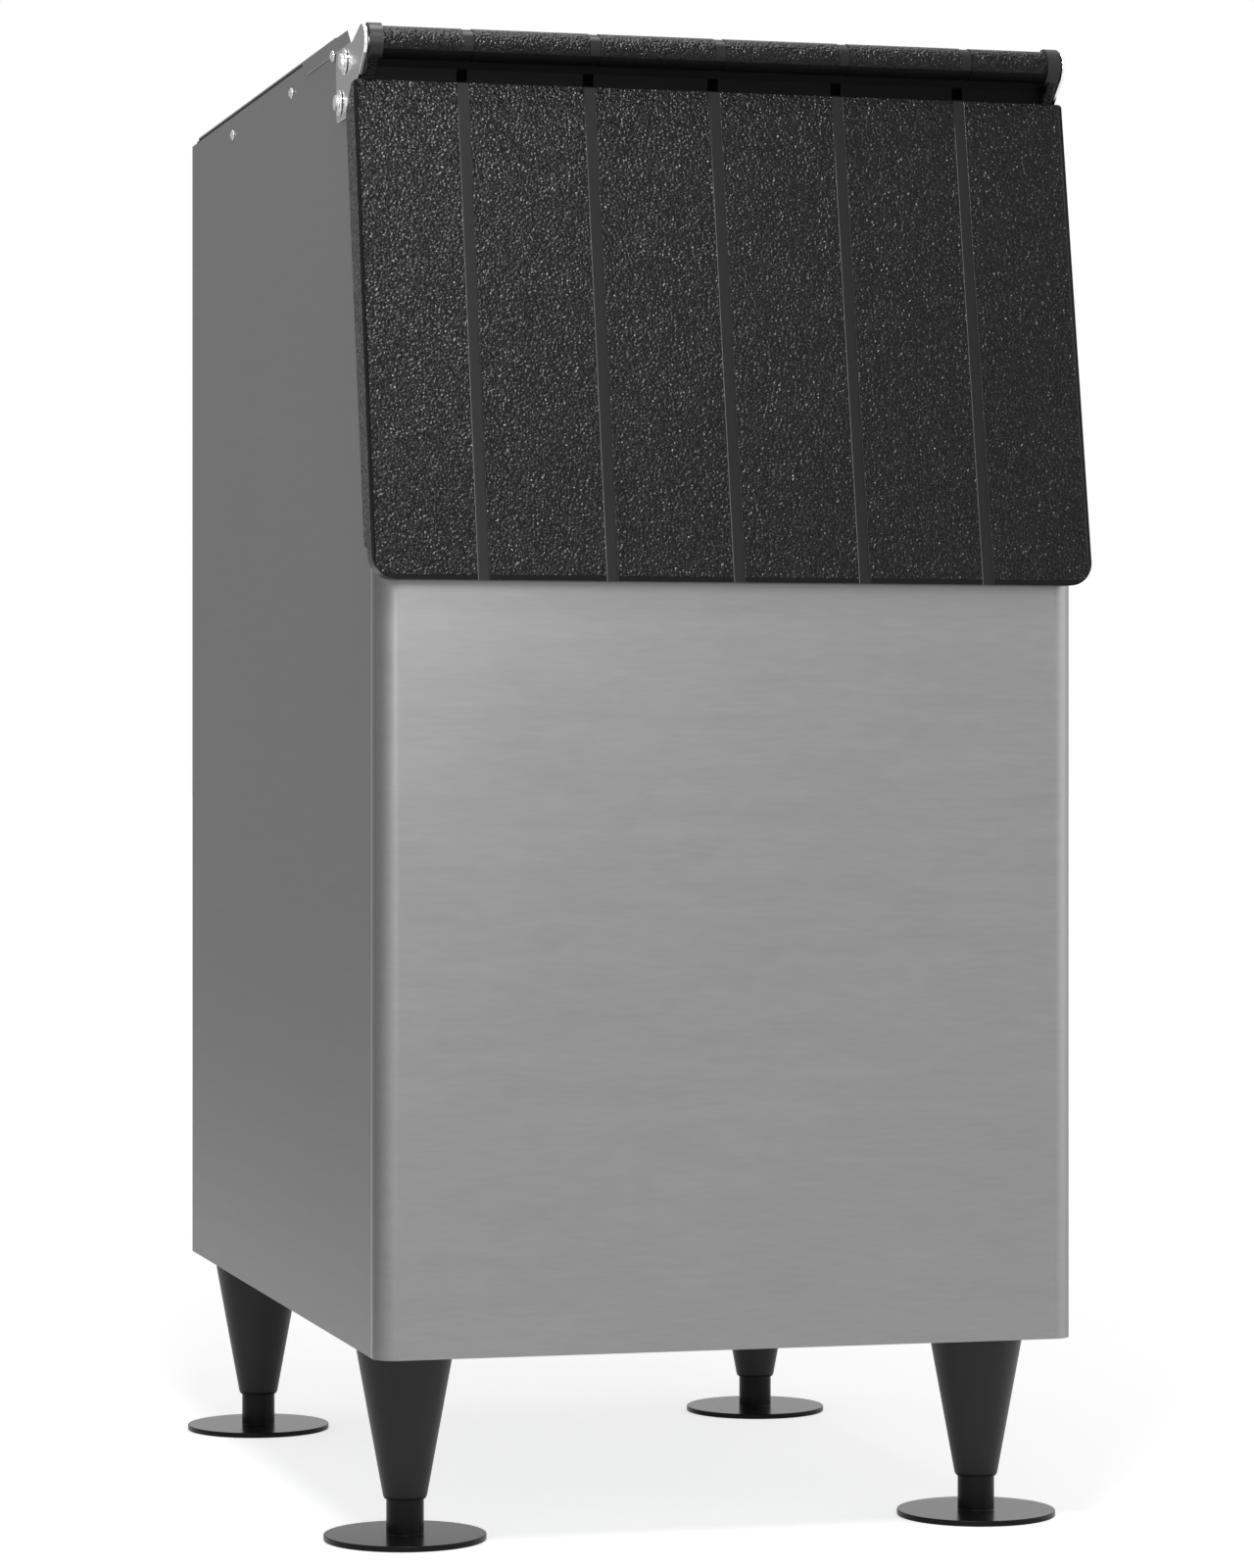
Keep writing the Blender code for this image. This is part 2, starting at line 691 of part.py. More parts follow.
# Hinge brackets, each with its pin
ear = arc(pivot_y, pivot_z, ear_radius, ear_top_angle, ear_low_angle, 3 * arc_steps)
bracket_outline = ear + rounded([(*ear[-1], 0)] + by_pivot([
    (bracket_knee_run, bracket_knee_drop, bracket_corner_radius),
    (bracket_knee_run + 2 * bracket_corner_radius, bracket_low_drop, bracket_corner_radius),
    (bracket_rear_run, bracket_low_drop, bracket_corner_radius),
    (bracket_rear_run, bracket_top_drop, bracket_corner_radius),
    (bracket_saddle_run, bracket_top_drop, 0)]) + [(*ear[0], 0)])[1:-1]
pin_embed = bracket_thickness / 2
pin_profile = [(0, pin_embed), (pin_radius, pin_embed), (pin_radius, pin_chamfer - pin_length),
               (pin_radius - pin_chamfer, -pin_length), (0, -pin_length)]
for name, side in (("left_hinge_bracket", -1), ("right_hinge_bracket", 1)):
    low, high = sorted((side * bracket_inner_x, side * bracket_outer_x))
    bracket = extruded(name, [bracket_outline], low, high, "X")
    combine(bracket, side_drill)
    pin = turned(name + "_pin", pin_profile, small_round_steps, group=cutters)
    along_x(pin, side * bracket_inner_x, pivot_y, pivot_z, side)
    combine(bracket, pin, "UNION")
    finish(bracket, *CHROME)

# Bracket bolts, washers and side screws
bolt_blank_radius = bolt_hex_radius + seat_gap
bolt_profile = [
    (0, bolt_head_height), (bolt_hex_radius - bolt_chamfer_run, bolt_head_height),
    (bolt_blank_radius, bolt_head_height - bolt_chamfer_drop), (bolt_blank_radius, 0),
    (bolt_shank_radius, 0), (bolt_shank_radius, -bolt_shank_length), (0, -bolt_shank_length)]
hexagon = ring_points(0, 0, bolt_hex_radius, hex_sides)
washer_profile = [
    (washer_bore_radius, washer_thickness), (washer_radius - washer_edge, washer_thickness),
    (washer_radius, washer_thickness - washer_edge), (washer_radius, 0), (washer_bore_radius, 0)]
screw_profile = [
    (0, screw_head_height), (screw_crown_radius, screw_head_height - screw_crown_drop),
    (screw_head_radius, screw_rim_height), (screw_head_radius, 0), (screw_shank_radius, 0),
    (screw_shank_radius, -screw_shank_length), (0, -screw_shank_length)]
for side, side_name in ((-1, "left"), (1, "right")):
    for level, (y, z) in zip(("upper", "lower"), bolt_spots):
        bolt = turned(f"{side_name}_bolt_{level}", bolt_profile, small_round_steps)
        flats = extruded(f"{side_name}_flats_{level}", [hexagon], -2 * bolt_shank_length,
                         2 * bolt_head_height, "Z", cutters)
        combine(bolt, along_x(flats, side * bolt_seat_x, y, z, side), "INTERSECT")
        finish(along_x(bolt, side * bolt_seat_x, y, z, side), *CHROME)
        washer = turned(f"{side_name}_washer_{level}", washer_profile, small_round_steps, closed=True)
        finish(along_x(washer, side * washer_inner_x, y, z, side), *CHROME)
    for place, (y, z) in zip(("rear", "middle", "front"), screw_spots):
        seat = cover_flange_outer_x if place == "front" else half_width
        screw = turned(f"{side_name}_screw_{place}", screw_profile, small_round_steps)
        finish(along_x(screw, side * (seat + seat_gap), y, z, side), *CHROME)

# Legs, mounting plates and levelling feet
leg_profile = [
    (leg_stud_bore_radius, leg_top_z), (leg_top_radius, leg_top_z),
    (leg_top_radius, leg_top_z - leg_collar_height), (leg_low_radius, leg_low_z + leg_low_chamfer),
    (leg_low_radius - leg_low_bevel, leg_low_z), (leg_bore_radius, leg_low_z),
    (leg_bore_radius, leg_bore_top_z), (leg_stud_bore_radius, leg_bore_top_z)]
foot_profile = [
    (0, stem_top_z), (stem_radius - stem_chamfer, stem_top_z), (stem_radius, stem_top_z - stem_chamfer),
    (stem_radius, foot_thickness),
    (foot_radius - foot_edge, foot_thickness), (foot_radius, foot_thickness - foot_edge), (foot_radius, 0),
    (0, 0)]
stud_low_z = leg_top_z - stud_length
plate_low_z = pan_top_z + seat_gap
stud_high_z = plate_low_z + mount_plate_thickness / 2
stud_profile = [(0, stud_high_z), (stud_radius, stud_high_z), (stud_radius, stud_low_z), (0, stud_low_z)]
for place, (x, y) in leg_spots.items():
    leg = turned("leg_" + place, leg_profile, round_steps, closed=True)
    leg.location = (x, y, 0)
    finish(leg, *LEG)
    foot = turned("foot_" + place, foot_profile, round_steps)
    foot.location = (x, y, 0)
    finish(foot, *BLACK)
    plate = extruded("leg_mount_" + place, [box_outline(
        x - mount_plate_half, x + mount_plate_half, y - mount_plate_half, y + mount_plate_half,
        mount_plate_radius)], plate_low_z, plate_low_z + mount_plate_thickness, "Z")
    stud = turned("stud_" + place, stud_profile, small_round_steps, group=cutters)
    stud.location = (x, y, 0)
    combine(plate, stud, "UNION")
    finish(plate, *ZINC)

# Drain fitting, lock nut and strainer
flange_low_face_z = liner_floor_z + seat_gap
flange_top_z = flange_low_face_z + drain_flange_thickness
drain_profile = [
    (drain_bore_radius, flange_top_z), (drain_flange_radius, flange_top_z),
    (drain_flange_radius, flange_low_face_z), (drain_tube_radius, flange_low_face_z),
    (drain_tube_radius, drain_low_z), (drain_bore_radius, drain_low_z)]
drain = turned("drain_fitting", drain_profile, round_steps, closed=True)
drain.location = (0, drain_y, 0)
finish(drain, *BLACK)
nut_top_z = body_bottom_z - seat_gap
nut = extruded("drain_nut", [ring_points(0, drain_y, drain_nut_radius, hex_sides), drain_hole],
               nut_top_z - drain_nut_height, nut_top_z, "Z")
finish(nut, *BLACK)
strainer_low_z = flange_top_z + seat_gap
strainer_outlines = [ring_points(0, drain_y, strainer_radius, round_steps),
                     ring_points(0, drain_y, strainer_hole_radius, small_round_steps)]
for u, v in ring_points(0, drain_y, strainer_ring_radius, strainer_holes):
    strainer_outlines.append(ring_points(u, v, strainer_side_hole_radius, small_round_steps))
strainer_high_z = strainer_low_z + strainer_thickness
strainer = extruded("drain_strainer", strainer_outlines, strainer_low_z, strainer_high_z, "Z")
finish(strainer, *STEEL)

# Ice baffle on its axis, hung between two hangers
baffle_axis = bpy.data.objects.new("baffle_axis", None)
parts.objects.link(baffle_axis)
baffle_axis.location = (0, baffle_y, baffle_z)
half = baffle_thickness / 2
hanger_wall_x = chamber_half_width - seat_gap
hanger_face_x = hanger_wall_x - hanger_thickness
baffle_half_width = hanger_face_x - baffle_side_gap
baffle_tube = arc(0, 0, baffle_tube_radius, baffle_tube_start_angle, baffle_tube_end_angle, 3 * arc_steps)
baffle_blade = rounded([
    (-half, -baffle_tube_radius, 0), (-half, -baffle_drop, half / 2), (half, -baffle_drop, half / 2),
    (half, -baffle_tube_radius, 0)])
baffle = extruded("ice_baffle", [baffle_tube + baffle_blade], -baffle_half_width, baffle_half_width, "X")
baffle_pin_tip = hanger_wall_x - baffle_pin_end_gap
baffle_pin = turned("baffle_pin", [
    (0, baffle_pin_tip), (baffle_pin_radius, baffle_pin_tip), (baffle_pin_radius, -baffle_pin_tip),
    (0, -baffle_pin_tip)], small_round_steps, group=cutters)
baffle_pin.rotation_euler = (0, math.pi / 2, 0)
baffle_pin.parent = baffle_axis
combine(baffle, baffle_pin, "UNION")
baffle.parent = baffle_axis
finish(baffle, *LINER)
for name, side in (("left_baffle_hanger", -1), ("right_baffle_hanger", 1)):
    low, high = sorted((side * hanger_wall_x, side * hanger_face_x))
    hanger = extruded(name, [
        box_outline(baffle_y - hanger_half, baffle_y + hanger_half, baffle_z - hanger_drop,
                    baffle_z + hanger_half, hanger_radius),
        ring_points(baffle_y, baffle_z, hanger_bore_radius, small_round_steps)], low, high, "X")
    finish(hanger, *ACETAL)

# Door axis
door_axis = bpy.data.objects.new("door_axis", None)
parts.objects.link(door_axis)
door_axis.location = (0, pivot_y, pivot_z)


def on_door(thing):
    """Carries a piece built in place on the door's axis."""
    thing.parent = door_axis
    thing.matrix_parent_inverse = Matrix.Translation((0, -pivot_y, -pivot_z))
    return thing


# Door shell: a shallow tray open at the back
bottom = door_bottom_z
shell_outline = rounded([
    (door_front_y(bottom), bottom, 0), (-door_lip_gap, bottom, 0), (-door_lip_gap, flange_low_z, 0),
    (door_rear_y(flange_low_z), flange_low_z, flange_low_radius),
    (door_rear_y(flange_high_z), flange_high_z, flange_high_radius),
    (pivot_y + flange_shoulder_run, door_top_z, 0), (door_front_y(door_top_z), door_top_z, 0)])
shell = extruded("door_shell", [shell_outline], -2 * door_half_width, 2 * door_half_width, "X")
shell_front = extruded("shell_front", [rounded([
    (-door_half_width, bottom, door_corner_radius), (door_half_width, bottom, door_corner_radius),
    (door_half_width, door_top_z, door_top_corner_radius),
    (-door_half_width, door_top_z, door_top_corner_radius)])], far_front, body_depth, "Y", cutters)
combine(shell, shell_front, "INTERSECT")
bevel = shell.modifiers.new("edges", "BEVEL")
bevel.width = door_edge_bevel
bevel.segments = 2
bevel.limit_method = "ANGLE"
bevel.angle_limit = bevel_least_angle
wall_run = door_wall / math.cos(door_angle)
cavity_low_z = bottom + door_wall
cavity = extruded("cavity", [[
    (door_front_y(cavity_low_z) + wall_run, cavity_low_z), (body_depth, cavity_low_z),
    (body_depth, over_top), (door_front_y(over_top) + wall_run, over_top)]],
    -2 * door_half_width, 2 * door_half_width, "X", cutters)
cavity_x = door_half_width - door_wall
cavity_corner = door_corner_radius - door_wall
cavity_front = extruded("cavity_front", [rounded([
    (-cavity_x, cavity_low_z, cavity_corner), (cavity_x, cavity_low_z, cavity_corner),
    (cavity_x, over_top, 0), (-cavity_x, over_top, 0)])], far_front, body_depth, "Y", cutters)
combine(cavity, cavity_front, "INTERSECT")
combine(shell, cavity)

# Web under the door's barrel
barrel_low = -barrel_half_length
barrel_high = barrel_half_length
web = extruded("web", [by_pivot([
    (top_plate_front_run, top_plate_low_drop), (top_plate_rear_run, top_plate_low_drop),
    (top_plate_rear_run, top_plate_high_drop), (web_rear_run, top_plate_high_drop),
    (web_rear_run, web_rear_drop), (web_tail_run, 0), (web_root_run, web_root_drop),
    (web_front_high_run, web_front_high_drop), (web_crease_run, web_crease_drop),
    (web_front_low_run, top_plate_high_drop), (top_plate_front_run, top_plate_high_drop)])],
    barrel_low + lug_width / 2, barrel_high - lug_width / 2, "X", cutters)
combine(shell, web, "UNION")

# Smooth grooves down the door's face and into its neck
groove_length = (door_top_z - bottom) / math.cos(door_angle) + groove_overrun
for index, step in enumerate((-2, -1, 0, 1, 2)):
    x = step * groove_spacing
    low, high = x - groove_width / 2, x + groove_width / 2
    groove = extruded(f"groove_{index}", [[
        (low, -groove_overrun), (high, -groove_overrun), (high, groove_length), (low, groove_length)]],
        -groove_reach, groove_depth, "Y", cutters)
    groove.rotation_euler = (-door_angle, 0, 0)
    groove.location = (0, door_front_y(bottom), bottom)
    combine(shell, groove)
    pocket = extruded(f"pocket_{index}", [by_pivot([
        (pocket_front_run, pocket_low_drop), (web_front_low_run + pocket_depth, pocket_low_drop),
        (web_front_low_run + pocket_depth, pocket_high_drop), (pocket_front_run, pocket_high_drop)])],
        low, high, "X", cutters)
    combine(shell, pocket)

# Barrel and end lugs of the door
barrel_profile = [
    (0, barrel_high - bush_seat_depth), (bush_seat_radius, barrel_high - bush_seat_depth),
    (bush_seat_radius, barrel_high), (lug_radius, barrel_high), (lug_radius, barrel_high - lug_width),
    (barrel_radius, barrel_high - lug_width)]
for step in (2, 1, 0, -1, -2):
    high = step * groove_spacing + groove_width / 2
    low = high - groove_width
    band_radius = barrel_radius - barrel_groove_depth
    barrel_profile += [(barrel_radius, high), (band_radius, high), (band_radius, low), (barrel_radius, low)]
barrel_profile += [
    (barrel_radius, barrel_low + lug_width), (lug_radius, barrel_low + lug_width),
    (lug_radius, barrel_low), (bush_seat_radius, barrel_low),
    (bush_seat_radius, barrel_low + bush_seat_depth), (0, barrel_low + bush_seat_depth)]
barrel = turned("barrel", barrel_profile, round_steps, group=cutters)
along_x(barrel, 0, pivot_y, pivot_z, 1)
combine(shell, barrel, "UNION")
arm_outline = by_pivot([
    (arm_rear_high_run, arm_rear_high_drop), (arm_front_high_run, arm_front_high_drop),
    (lug_foot_front_run, lug_foot_front_drop), (lug_foot_inner_run, lug_foot_drop),
    (lug_foot_rear_run, lug_foot_drop)])
for name, low, high in (("arm_left", barrel_low + seat_gap, barrel_low + arm_width),
                        ("arm_right", barrel_high - arm_width, barrel_high - seat_gap)):
    arm = extruded(name, [arm_outline], low, high, "X", cutters)
    combine(shell, arm, "UNION")
finish(on_door(shell), *CHARCOAL)

# Door core and inner panel
panel_back = door_gasket_thickness + seat_gap
panel_front = panel_back + door_panel_thickness
core_gap = seat_gap / math.cos(door_angle)
core_rear_run = (panel_front + seat_gap) / math.cos(face_angle)
core_low_z = cavity_low_z + seat_gap
core = extruded("door_core", [[
    (door_front_y(core_low_z) + wall_run + core_gap, core_low_z),
    (face_y(core_low_z) - core_rear_run, core_low_z),
    (face_y(door_core_top_z) - core_rear_run, door_core_top_z),
    (door_front_y(door_core_top_z) + wall_run + core_gap, door_core_top_z)]],
    -door_core_half_width, door_core_half_width, "X")
core_x = cavity_x - seat_gap
core_corner = door_corner_radius - door_wall
core_front = extruded("core_front", [rounded([
    (-core_x, core_low_z, core_corner), (core_x, core_low_z, core_corner),
    (core_x, over_top, 0), (-core_x, over_top, 0)])], far_front, body_depth, "Y", cutters)
combine(core, core_front, "INTERSECT")
finish(on_door(core), *FOAM)
inner_panel = extruded("door_inner_panel", [box_outline(
    -door_core_half_width, door_core_half_width, door_panel_start, door_panel_end, door_panel_radius)],
    -panel_front, -panel_back, "Y")
finish(on_door(on_face(inner_panel)), *LINER)
outer_x = door_gasket_half_width
inner_x = door_gasket_half_width - door_gasket_width
inner_start = door_gasket_start + door_gasket_width
inner_end = door_gasket_end - door_gasket_width
door_gasket = extruded("door_gasket", [
    box_outline(-outer_x, outer_x, door_gasket_start, door_gasket_end, door_gasket_radius),
    box_outline(-inner_x, inner_x, inner_start, inner_end, door_gasket_radius - door_gasket_width)],
    -door_gasket_thickness, -seat_gap, "Y")
finish(on_door(on_face(door_gasket)), *RUBBER)

# Bushes in the barrel ends
bush_profile = [
    (bush_bore_radius, bush_length), (bush_radius, bush_length), (bush_radius, 0), (bush_bore_radius, 0)]
for name, x, side in (("left_hinge_bush", barrel_low, -1), ("right_hinge_bush", barrel_high, 1)):
    bush = turned(name, bush_profile, small_round_steps, closed=True)
    along_x(bush, x - side * bush_length, pivot_y, pivot_z, side)
    finish(on_door(bush), *ACETAL)

# Centre of the floor outline becomes the origin
for group in (parts, cutters):
    for item in group.objects:
        if item.parent is None:
            item.location.y -= middle_y
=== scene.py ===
"""Looks of the ice storage bin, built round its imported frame. Lengths are in metres."""

import json
import math

import bmesh
import bpy
from mathutils import Matrix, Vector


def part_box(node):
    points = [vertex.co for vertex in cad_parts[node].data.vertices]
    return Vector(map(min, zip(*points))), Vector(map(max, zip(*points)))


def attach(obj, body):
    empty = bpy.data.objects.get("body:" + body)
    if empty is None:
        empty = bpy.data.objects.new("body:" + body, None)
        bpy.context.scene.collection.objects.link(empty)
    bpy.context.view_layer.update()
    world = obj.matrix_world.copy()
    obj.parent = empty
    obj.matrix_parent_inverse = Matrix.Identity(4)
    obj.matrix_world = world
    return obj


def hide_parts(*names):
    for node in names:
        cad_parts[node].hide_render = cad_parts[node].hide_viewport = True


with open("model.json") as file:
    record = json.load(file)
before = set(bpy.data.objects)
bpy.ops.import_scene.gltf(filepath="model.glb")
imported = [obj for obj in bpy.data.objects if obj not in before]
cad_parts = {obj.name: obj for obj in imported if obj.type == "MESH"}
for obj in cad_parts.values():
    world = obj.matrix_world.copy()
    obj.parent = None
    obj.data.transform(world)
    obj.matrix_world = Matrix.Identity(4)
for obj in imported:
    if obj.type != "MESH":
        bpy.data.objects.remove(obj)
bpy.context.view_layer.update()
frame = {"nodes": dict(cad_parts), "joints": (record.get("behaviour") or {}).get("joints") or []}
nodes = frame["nodes"]
joints = {joint["name"]: joint for joint in frame["joints"]}

# Cabinet
panel_low, panel_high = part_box("right_side_panel")
half_width = panel_high.x
body_bottom_z = panel_low.z
side_top_z = panel_high.z
front_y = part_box("front_panel")[0].y
rear_y = panel_high.y
sheet = 0.0012
corner_radius = 0.017
seam_gap = 0.0003
rear_return = 0.015
rear_corner_radius = 0.003
sheet_edge = 0.00035
hem_width = 0.0013
hem_drop = 0.00012
hem_seen_share = 0.75

# Door
door_low, door_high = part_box("door_shell")
pivot_y, pivot_z = joints["door_hinge"]["pos_m"][1:]
door_half_width = door_high.x
door_bottom_z = door_low.z
door_top_z = pivot_z - 0.0276
door_slope_share = 0.1885
door_line_y = pivot_y + 0.0073
door_line_z = pivot_z - 0.0336
door_wall = 0.003
door_corner_radius = 0.019
door_top_corner_radius = 0.003
door_rim = 0.0016
door_rim_angle = 50
grain_margin = 0.0032
grain_fade = 0.0010
door_lip_y = front_y - 0.003
flange_overlap = 0.006
flange_low_z = door_bottom_z + 0.0245
flange_high_z = door_top_z - 0.022
flange_low_radius = 0.006
flange_high_radius = 0.008
flange_shoulder_y = pivot_y + 0.0135
barrel_radius = 0.0125
barrel_end_gap = 0.0017
lug_radius = 0.0146
lug_width = 0.0103
lug_edge = 0.0012
arm_width = 0.0079
arm_inset = 0.0003
bush_seat_radius = 0.0073
bush_seat_depth = 0.0225
groove_end_margin = 0.0772
groove_width = 0.0083
groove_depth = 0.0010
groove_overrun = 0.012
groove_reach = 0.006
groove_lip_left = 0.0006
groove_lip_right = 0.0002
groove_lip_slope = 0.66
barrel_groove_depth = 0.0006

# Door neck with its pockets, and arms, measured back and down from the pivot
pocket_depth = 0.0025
pocket_front_run = 0.0050
pocket_high_drop = 0.0168
pocket_low_drop = 0.0261
neck_toe_run = 0.0090
neck_heel_run = 0.0325
neck_base_drop = 0.0306
neck_foot_drop = 0.0280
neck_back_run = 0.0235
neck_back_drop = 0.0136
neck_crown_run = 0.0120
neck_throat_run = 0.0070
neck_throat_drop = 0.0066
neck_throat_low_run = 0.0075
neck_throat_low_drop = 0.0104
neck_wall_run = 0.0125
neck_wall_drop = 0.0166
neck_wall_low_run = 0.0135
neck_wall_radius = 0.0010
arm_back_run = 0.0115
arm_back_drop = 0.0088
arm_nose_run = -0.0104
arm_nose_drop = 0.0092
arm_chin_run = 0.0079
arm_chin_drop = 0.0286
arm_chin_radius = 0.0015
arm_foot_run = 0.0120
arm_rear_run = 0.0300
arm_foot_drop = 0.0301

# Slanted access face behind the door
sill_z = door_bottom_z + 0.004
face_slope_share = 0.204
face_top_z = side_top_z - 0.0114
face_ledge_run = 0.0062
face_top_run = 0.0135

# Cover and seat frame
cover_low, cover_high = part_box("top_front_cover")
cover_tip_y = cover_low.y + 0.0136
cover_flange_rear_y = cover_high.y - 0.018
cover_tip_radius = 0.0018
seat_low, seat_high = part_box("top_frame")
seat_radius = 0.006
seat_edge = 0.0005
drop_rim_side = 0.0744
drop_rim_front = 0.177
drop_rim_rear = 0.049
drop_hole_radius = 0.020

# Hinge brackets, their outline measured back and down from the pivot
bracket_low, bracket_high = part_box("right_hinge_bracket")
bracket_thickness = 0.003
bracket_edge = 0.0007
bracket_corner_radius = 0.004
bracket_inner_x = bracket_high.x - bracket_thickness
barrel_half_length = bracket_inner_x - barrel_end_gap
barrel_inner_end = barrel_half_length - lug_width
groove_spacing = (barrel_half_length - groove_end_margin) / 2
bracket_knee_run = 0.0360
bracket_knee_drop = 0.0466
bracket_low_run = 0.0440
bracket_low_drop = 0.0506
bracket_rear_run = 0.0950
bracket_saddle_run = 0.0330
bracket_top_drop = -0.0048
ear_radius = 0.0135
ear_top_angle = 74
ear_low_angle = 228
pin_radius = 0.0045
pin_chamfer = 0.0008
pin_root = 0.001

# Bolts, washers and screws
bolt_hex_radius = 0.0064
bolt_head_height = 0.0029
bolt_chamfer_run = 0.0012
bolt_chamfer_drop = 0.0007
bolt_shank_radius = 0.0030
bolt_shank_length = 0.0053
bolt_edge = 0.0003
washer_radius = 0.0103
washer_bore_radius = 0.0033
washer_thickness = 0.0013
washer_edge = 0.0004
screw_head_radius = 0.0045
screw_head_height = 0.0022
screw_rim_height = 0.0007
screw_rim_radius = 0.0010
screw_crown_share = 0.55
screw_crown_radius = 0.0030
screw_shank_radius = 0.0020
screw_shank_length = 0.0009
recess_radius = 0.0021
recess_width = 0.0008
recess_depth = 0.0012
recess_taper = 0.6

# Legs and feet
leg_low, leg_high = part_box("leg_front_left")
leg_top_radius = (leg_high.x - leg_low.x) / 2
leg_low_radius = 0.0172
leg_collar = 0.0060
leg_edge = 0.0010
leg_waist_radius = 0.0030
leg_low_chamfer = 0.0020
leg_low_bevel = 0.0010
leg_tip_radius = 0.0003
leg_bore_radius = 0.0150
leg_bore_drop = 0.0471
stud_bore_radius = 0.0063
foot_low, foot_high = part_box("foot_front_left")
foot_radius = (foot_high.x - foot_low.x) / 2
foot_thickness = 0.0045
foot_edge = 0.0008
stem_radius = 0.0147
stem_edge = 0.0015
stem_root_radius = 0.0006

# Camera, solved on the photograph's straight edges
photo_height = 1600
view_reach = 200
focal_pixels = 4848.95
centre_row = 767.09
camera_turn = math.radians(14.893)
camera_place = (-1.0172, -3.9112276, 0.6121)
sensor_size = 36.0

# Facet counts and shading
fillet_steps = 12
turn_steps = 96
smooth_angle = math.radians(35)
panel_crease = math.radians(9)
merge_angle = math.radians(0.5)
merge_distance = 0.000003
overrun = 1.0

# How squarely a face must point along a direction to take a surface of its own
flat_share = 0.9
side_share = 0.5
face_share = 0.9995
flange_share = 0.999
lip_low_share, lip_high_share = 0.75, 0.90
lip_side_share = 0.4

# Margins for telling which part of the door a face lies on
edge_margin = 0.0004
neck_foot_margin = 0.0001

# Brushed grain, its lines counted to the metre
lines_along = 50
broad_scale, cloud_scale = 0.2, 5.0
fine_share, broad_share = 0.6, 0.4
cloud_spread = 0.02
cool_tint = (0.997, 1.0, 1.003)
streak_roughness = 0.05
streak_strength = 0.16
streak_depth = 0.07

# Pebbled grain
pebbles_per_metre = 430
specks_per_metre = 500
patches_per_metre = 45
speck_start, speck_end = 0.50, 0.66
pebble_dark = 0.0040
pebble_share = 0.8
pebble_roughness = (0.12, 0.18)
pebble_height = 0.00084

# Lamps, world and floor
matt_share = 0.5
world_light = 0.36
floor_reach = 60.0
floor_drop = 0.0002
floor_grey = 0.75
reflected_near, reflected_far = 0.44, 0.685
direct_near, direct_far = 0.66, 0.86
pool_reach, fade_reach = 1.2, 5.0

# Grey cards at the left
card_left, card_right = -2.5, -0.40
card_floor_right = -0.85
card_front, card_rear = -5.0, 6.0
card_dark = -0.6
card_dim = 0.45
card_top = 4.0
card_lift = 0.004

SIDES = ((-1, "left"), (1, "right"))

scratch = bpy.data.collections.new("ice_storage_bin_looks")
bpy.context.scene.collection.children.link(scratch)


def arc(centre_u, centre_v, radius, start, end, steps=fillet_steps):
    """Points along a circle between two angles in degrees."""
    turn = [math.radians(start + (end - start) * i / steps) for i in range(steps + 1)]
    return [(centre_u + radius * math.cos(a), centre_v + radius * math.sin(a)) for a in turn]


def ring_points(centre_u, centre_v, radius, steps=turn_steps):
    """Points all round a circle."""
    return arc(centre_u, centre_v, radius, 0, 360, steps)[:-1]


def rounded(corners, steps=fillet_steps):
    """Outline through corners given as (u, v, radius), each turned with its radius."""
    outline = []
    for i, (u, v, radius) in enumerate(corners):
        if radius == 0:
            outline.append((u, v))
            continue
        before, after = corners[i - 1], corners[(i + 1) % len(corners)]
        size_b = math.hypot(before[0] - u, before[1] - v)
        size_a = math.hypot(after[0] - u, after[1] - v)
        ub = ((before[0] - u) / size_b, (before[1] - v) / size_b)
        ua = ((after[0] - u) / size_a, (after[1] - v) / size_a)
        half = math.acos(max(-1, min(1, ub[0] * ua[0] + ub[1] * ua[1]))) / 2
        run = radius / math.tan(half)
        bisect = (ub[0] + ua[0], ub[1] + ua[1])
        reach = radius / math.sin(half) / math.hypot(*bisect)
        centre = (u + bisect[0] * reach, v + bisect[1] * reach)
        first = math.atan2(v + ub[1] * run - centre[1], u + ub[0] * run - centre[0])
        last = math.atan2(v + ua[1] * run - centre[1], u + ua[0] * run - centre[0])
        sweep = (last - first + math.pi) % (2 * math.pi) - math.pi
        for k in range(steps + 1):
            a = first + sweep * k / steps
            outline.append((centre[0] + radius * math.cos(a), centre[1] + radius * math.sin(a)))
    return outline


def box_outline(low_u, high_u, low_v, high_v, radius):
    """Rounded rectangle."""
    return rounded([
        (low_u, low_v, radius), (high_u, low_v, radius), (high_u, high_v, radius), (low_u, high_v, radius)])


def by_pivot(points):
    """Places given as (run, drop, ...) from the door's pivot, as (y, z, ...)."""
    return [(pivot_y + run, pivot_z - drop, *rest) for run, drop, *rest in points]


AXES = {
    "X": Matrix(((0, 0, 1, 0), (1, 0, 0, 0), (0, 1, 0, 0), (0, 0, 0, 1))),
    "Y": Matrix(((1, 0, 0, 0), (0, 0, -1, 0), (0, 1, 0, 0), (0, 0, 0, 1))),
    "Z": Matrix.Identity(4),
}


def add(name, mesh):
    """New object in the scene's own collection."""
    thing = bpy.data.objects.new(name, mesh)
    scratch.objects.link(thing)
    return thing


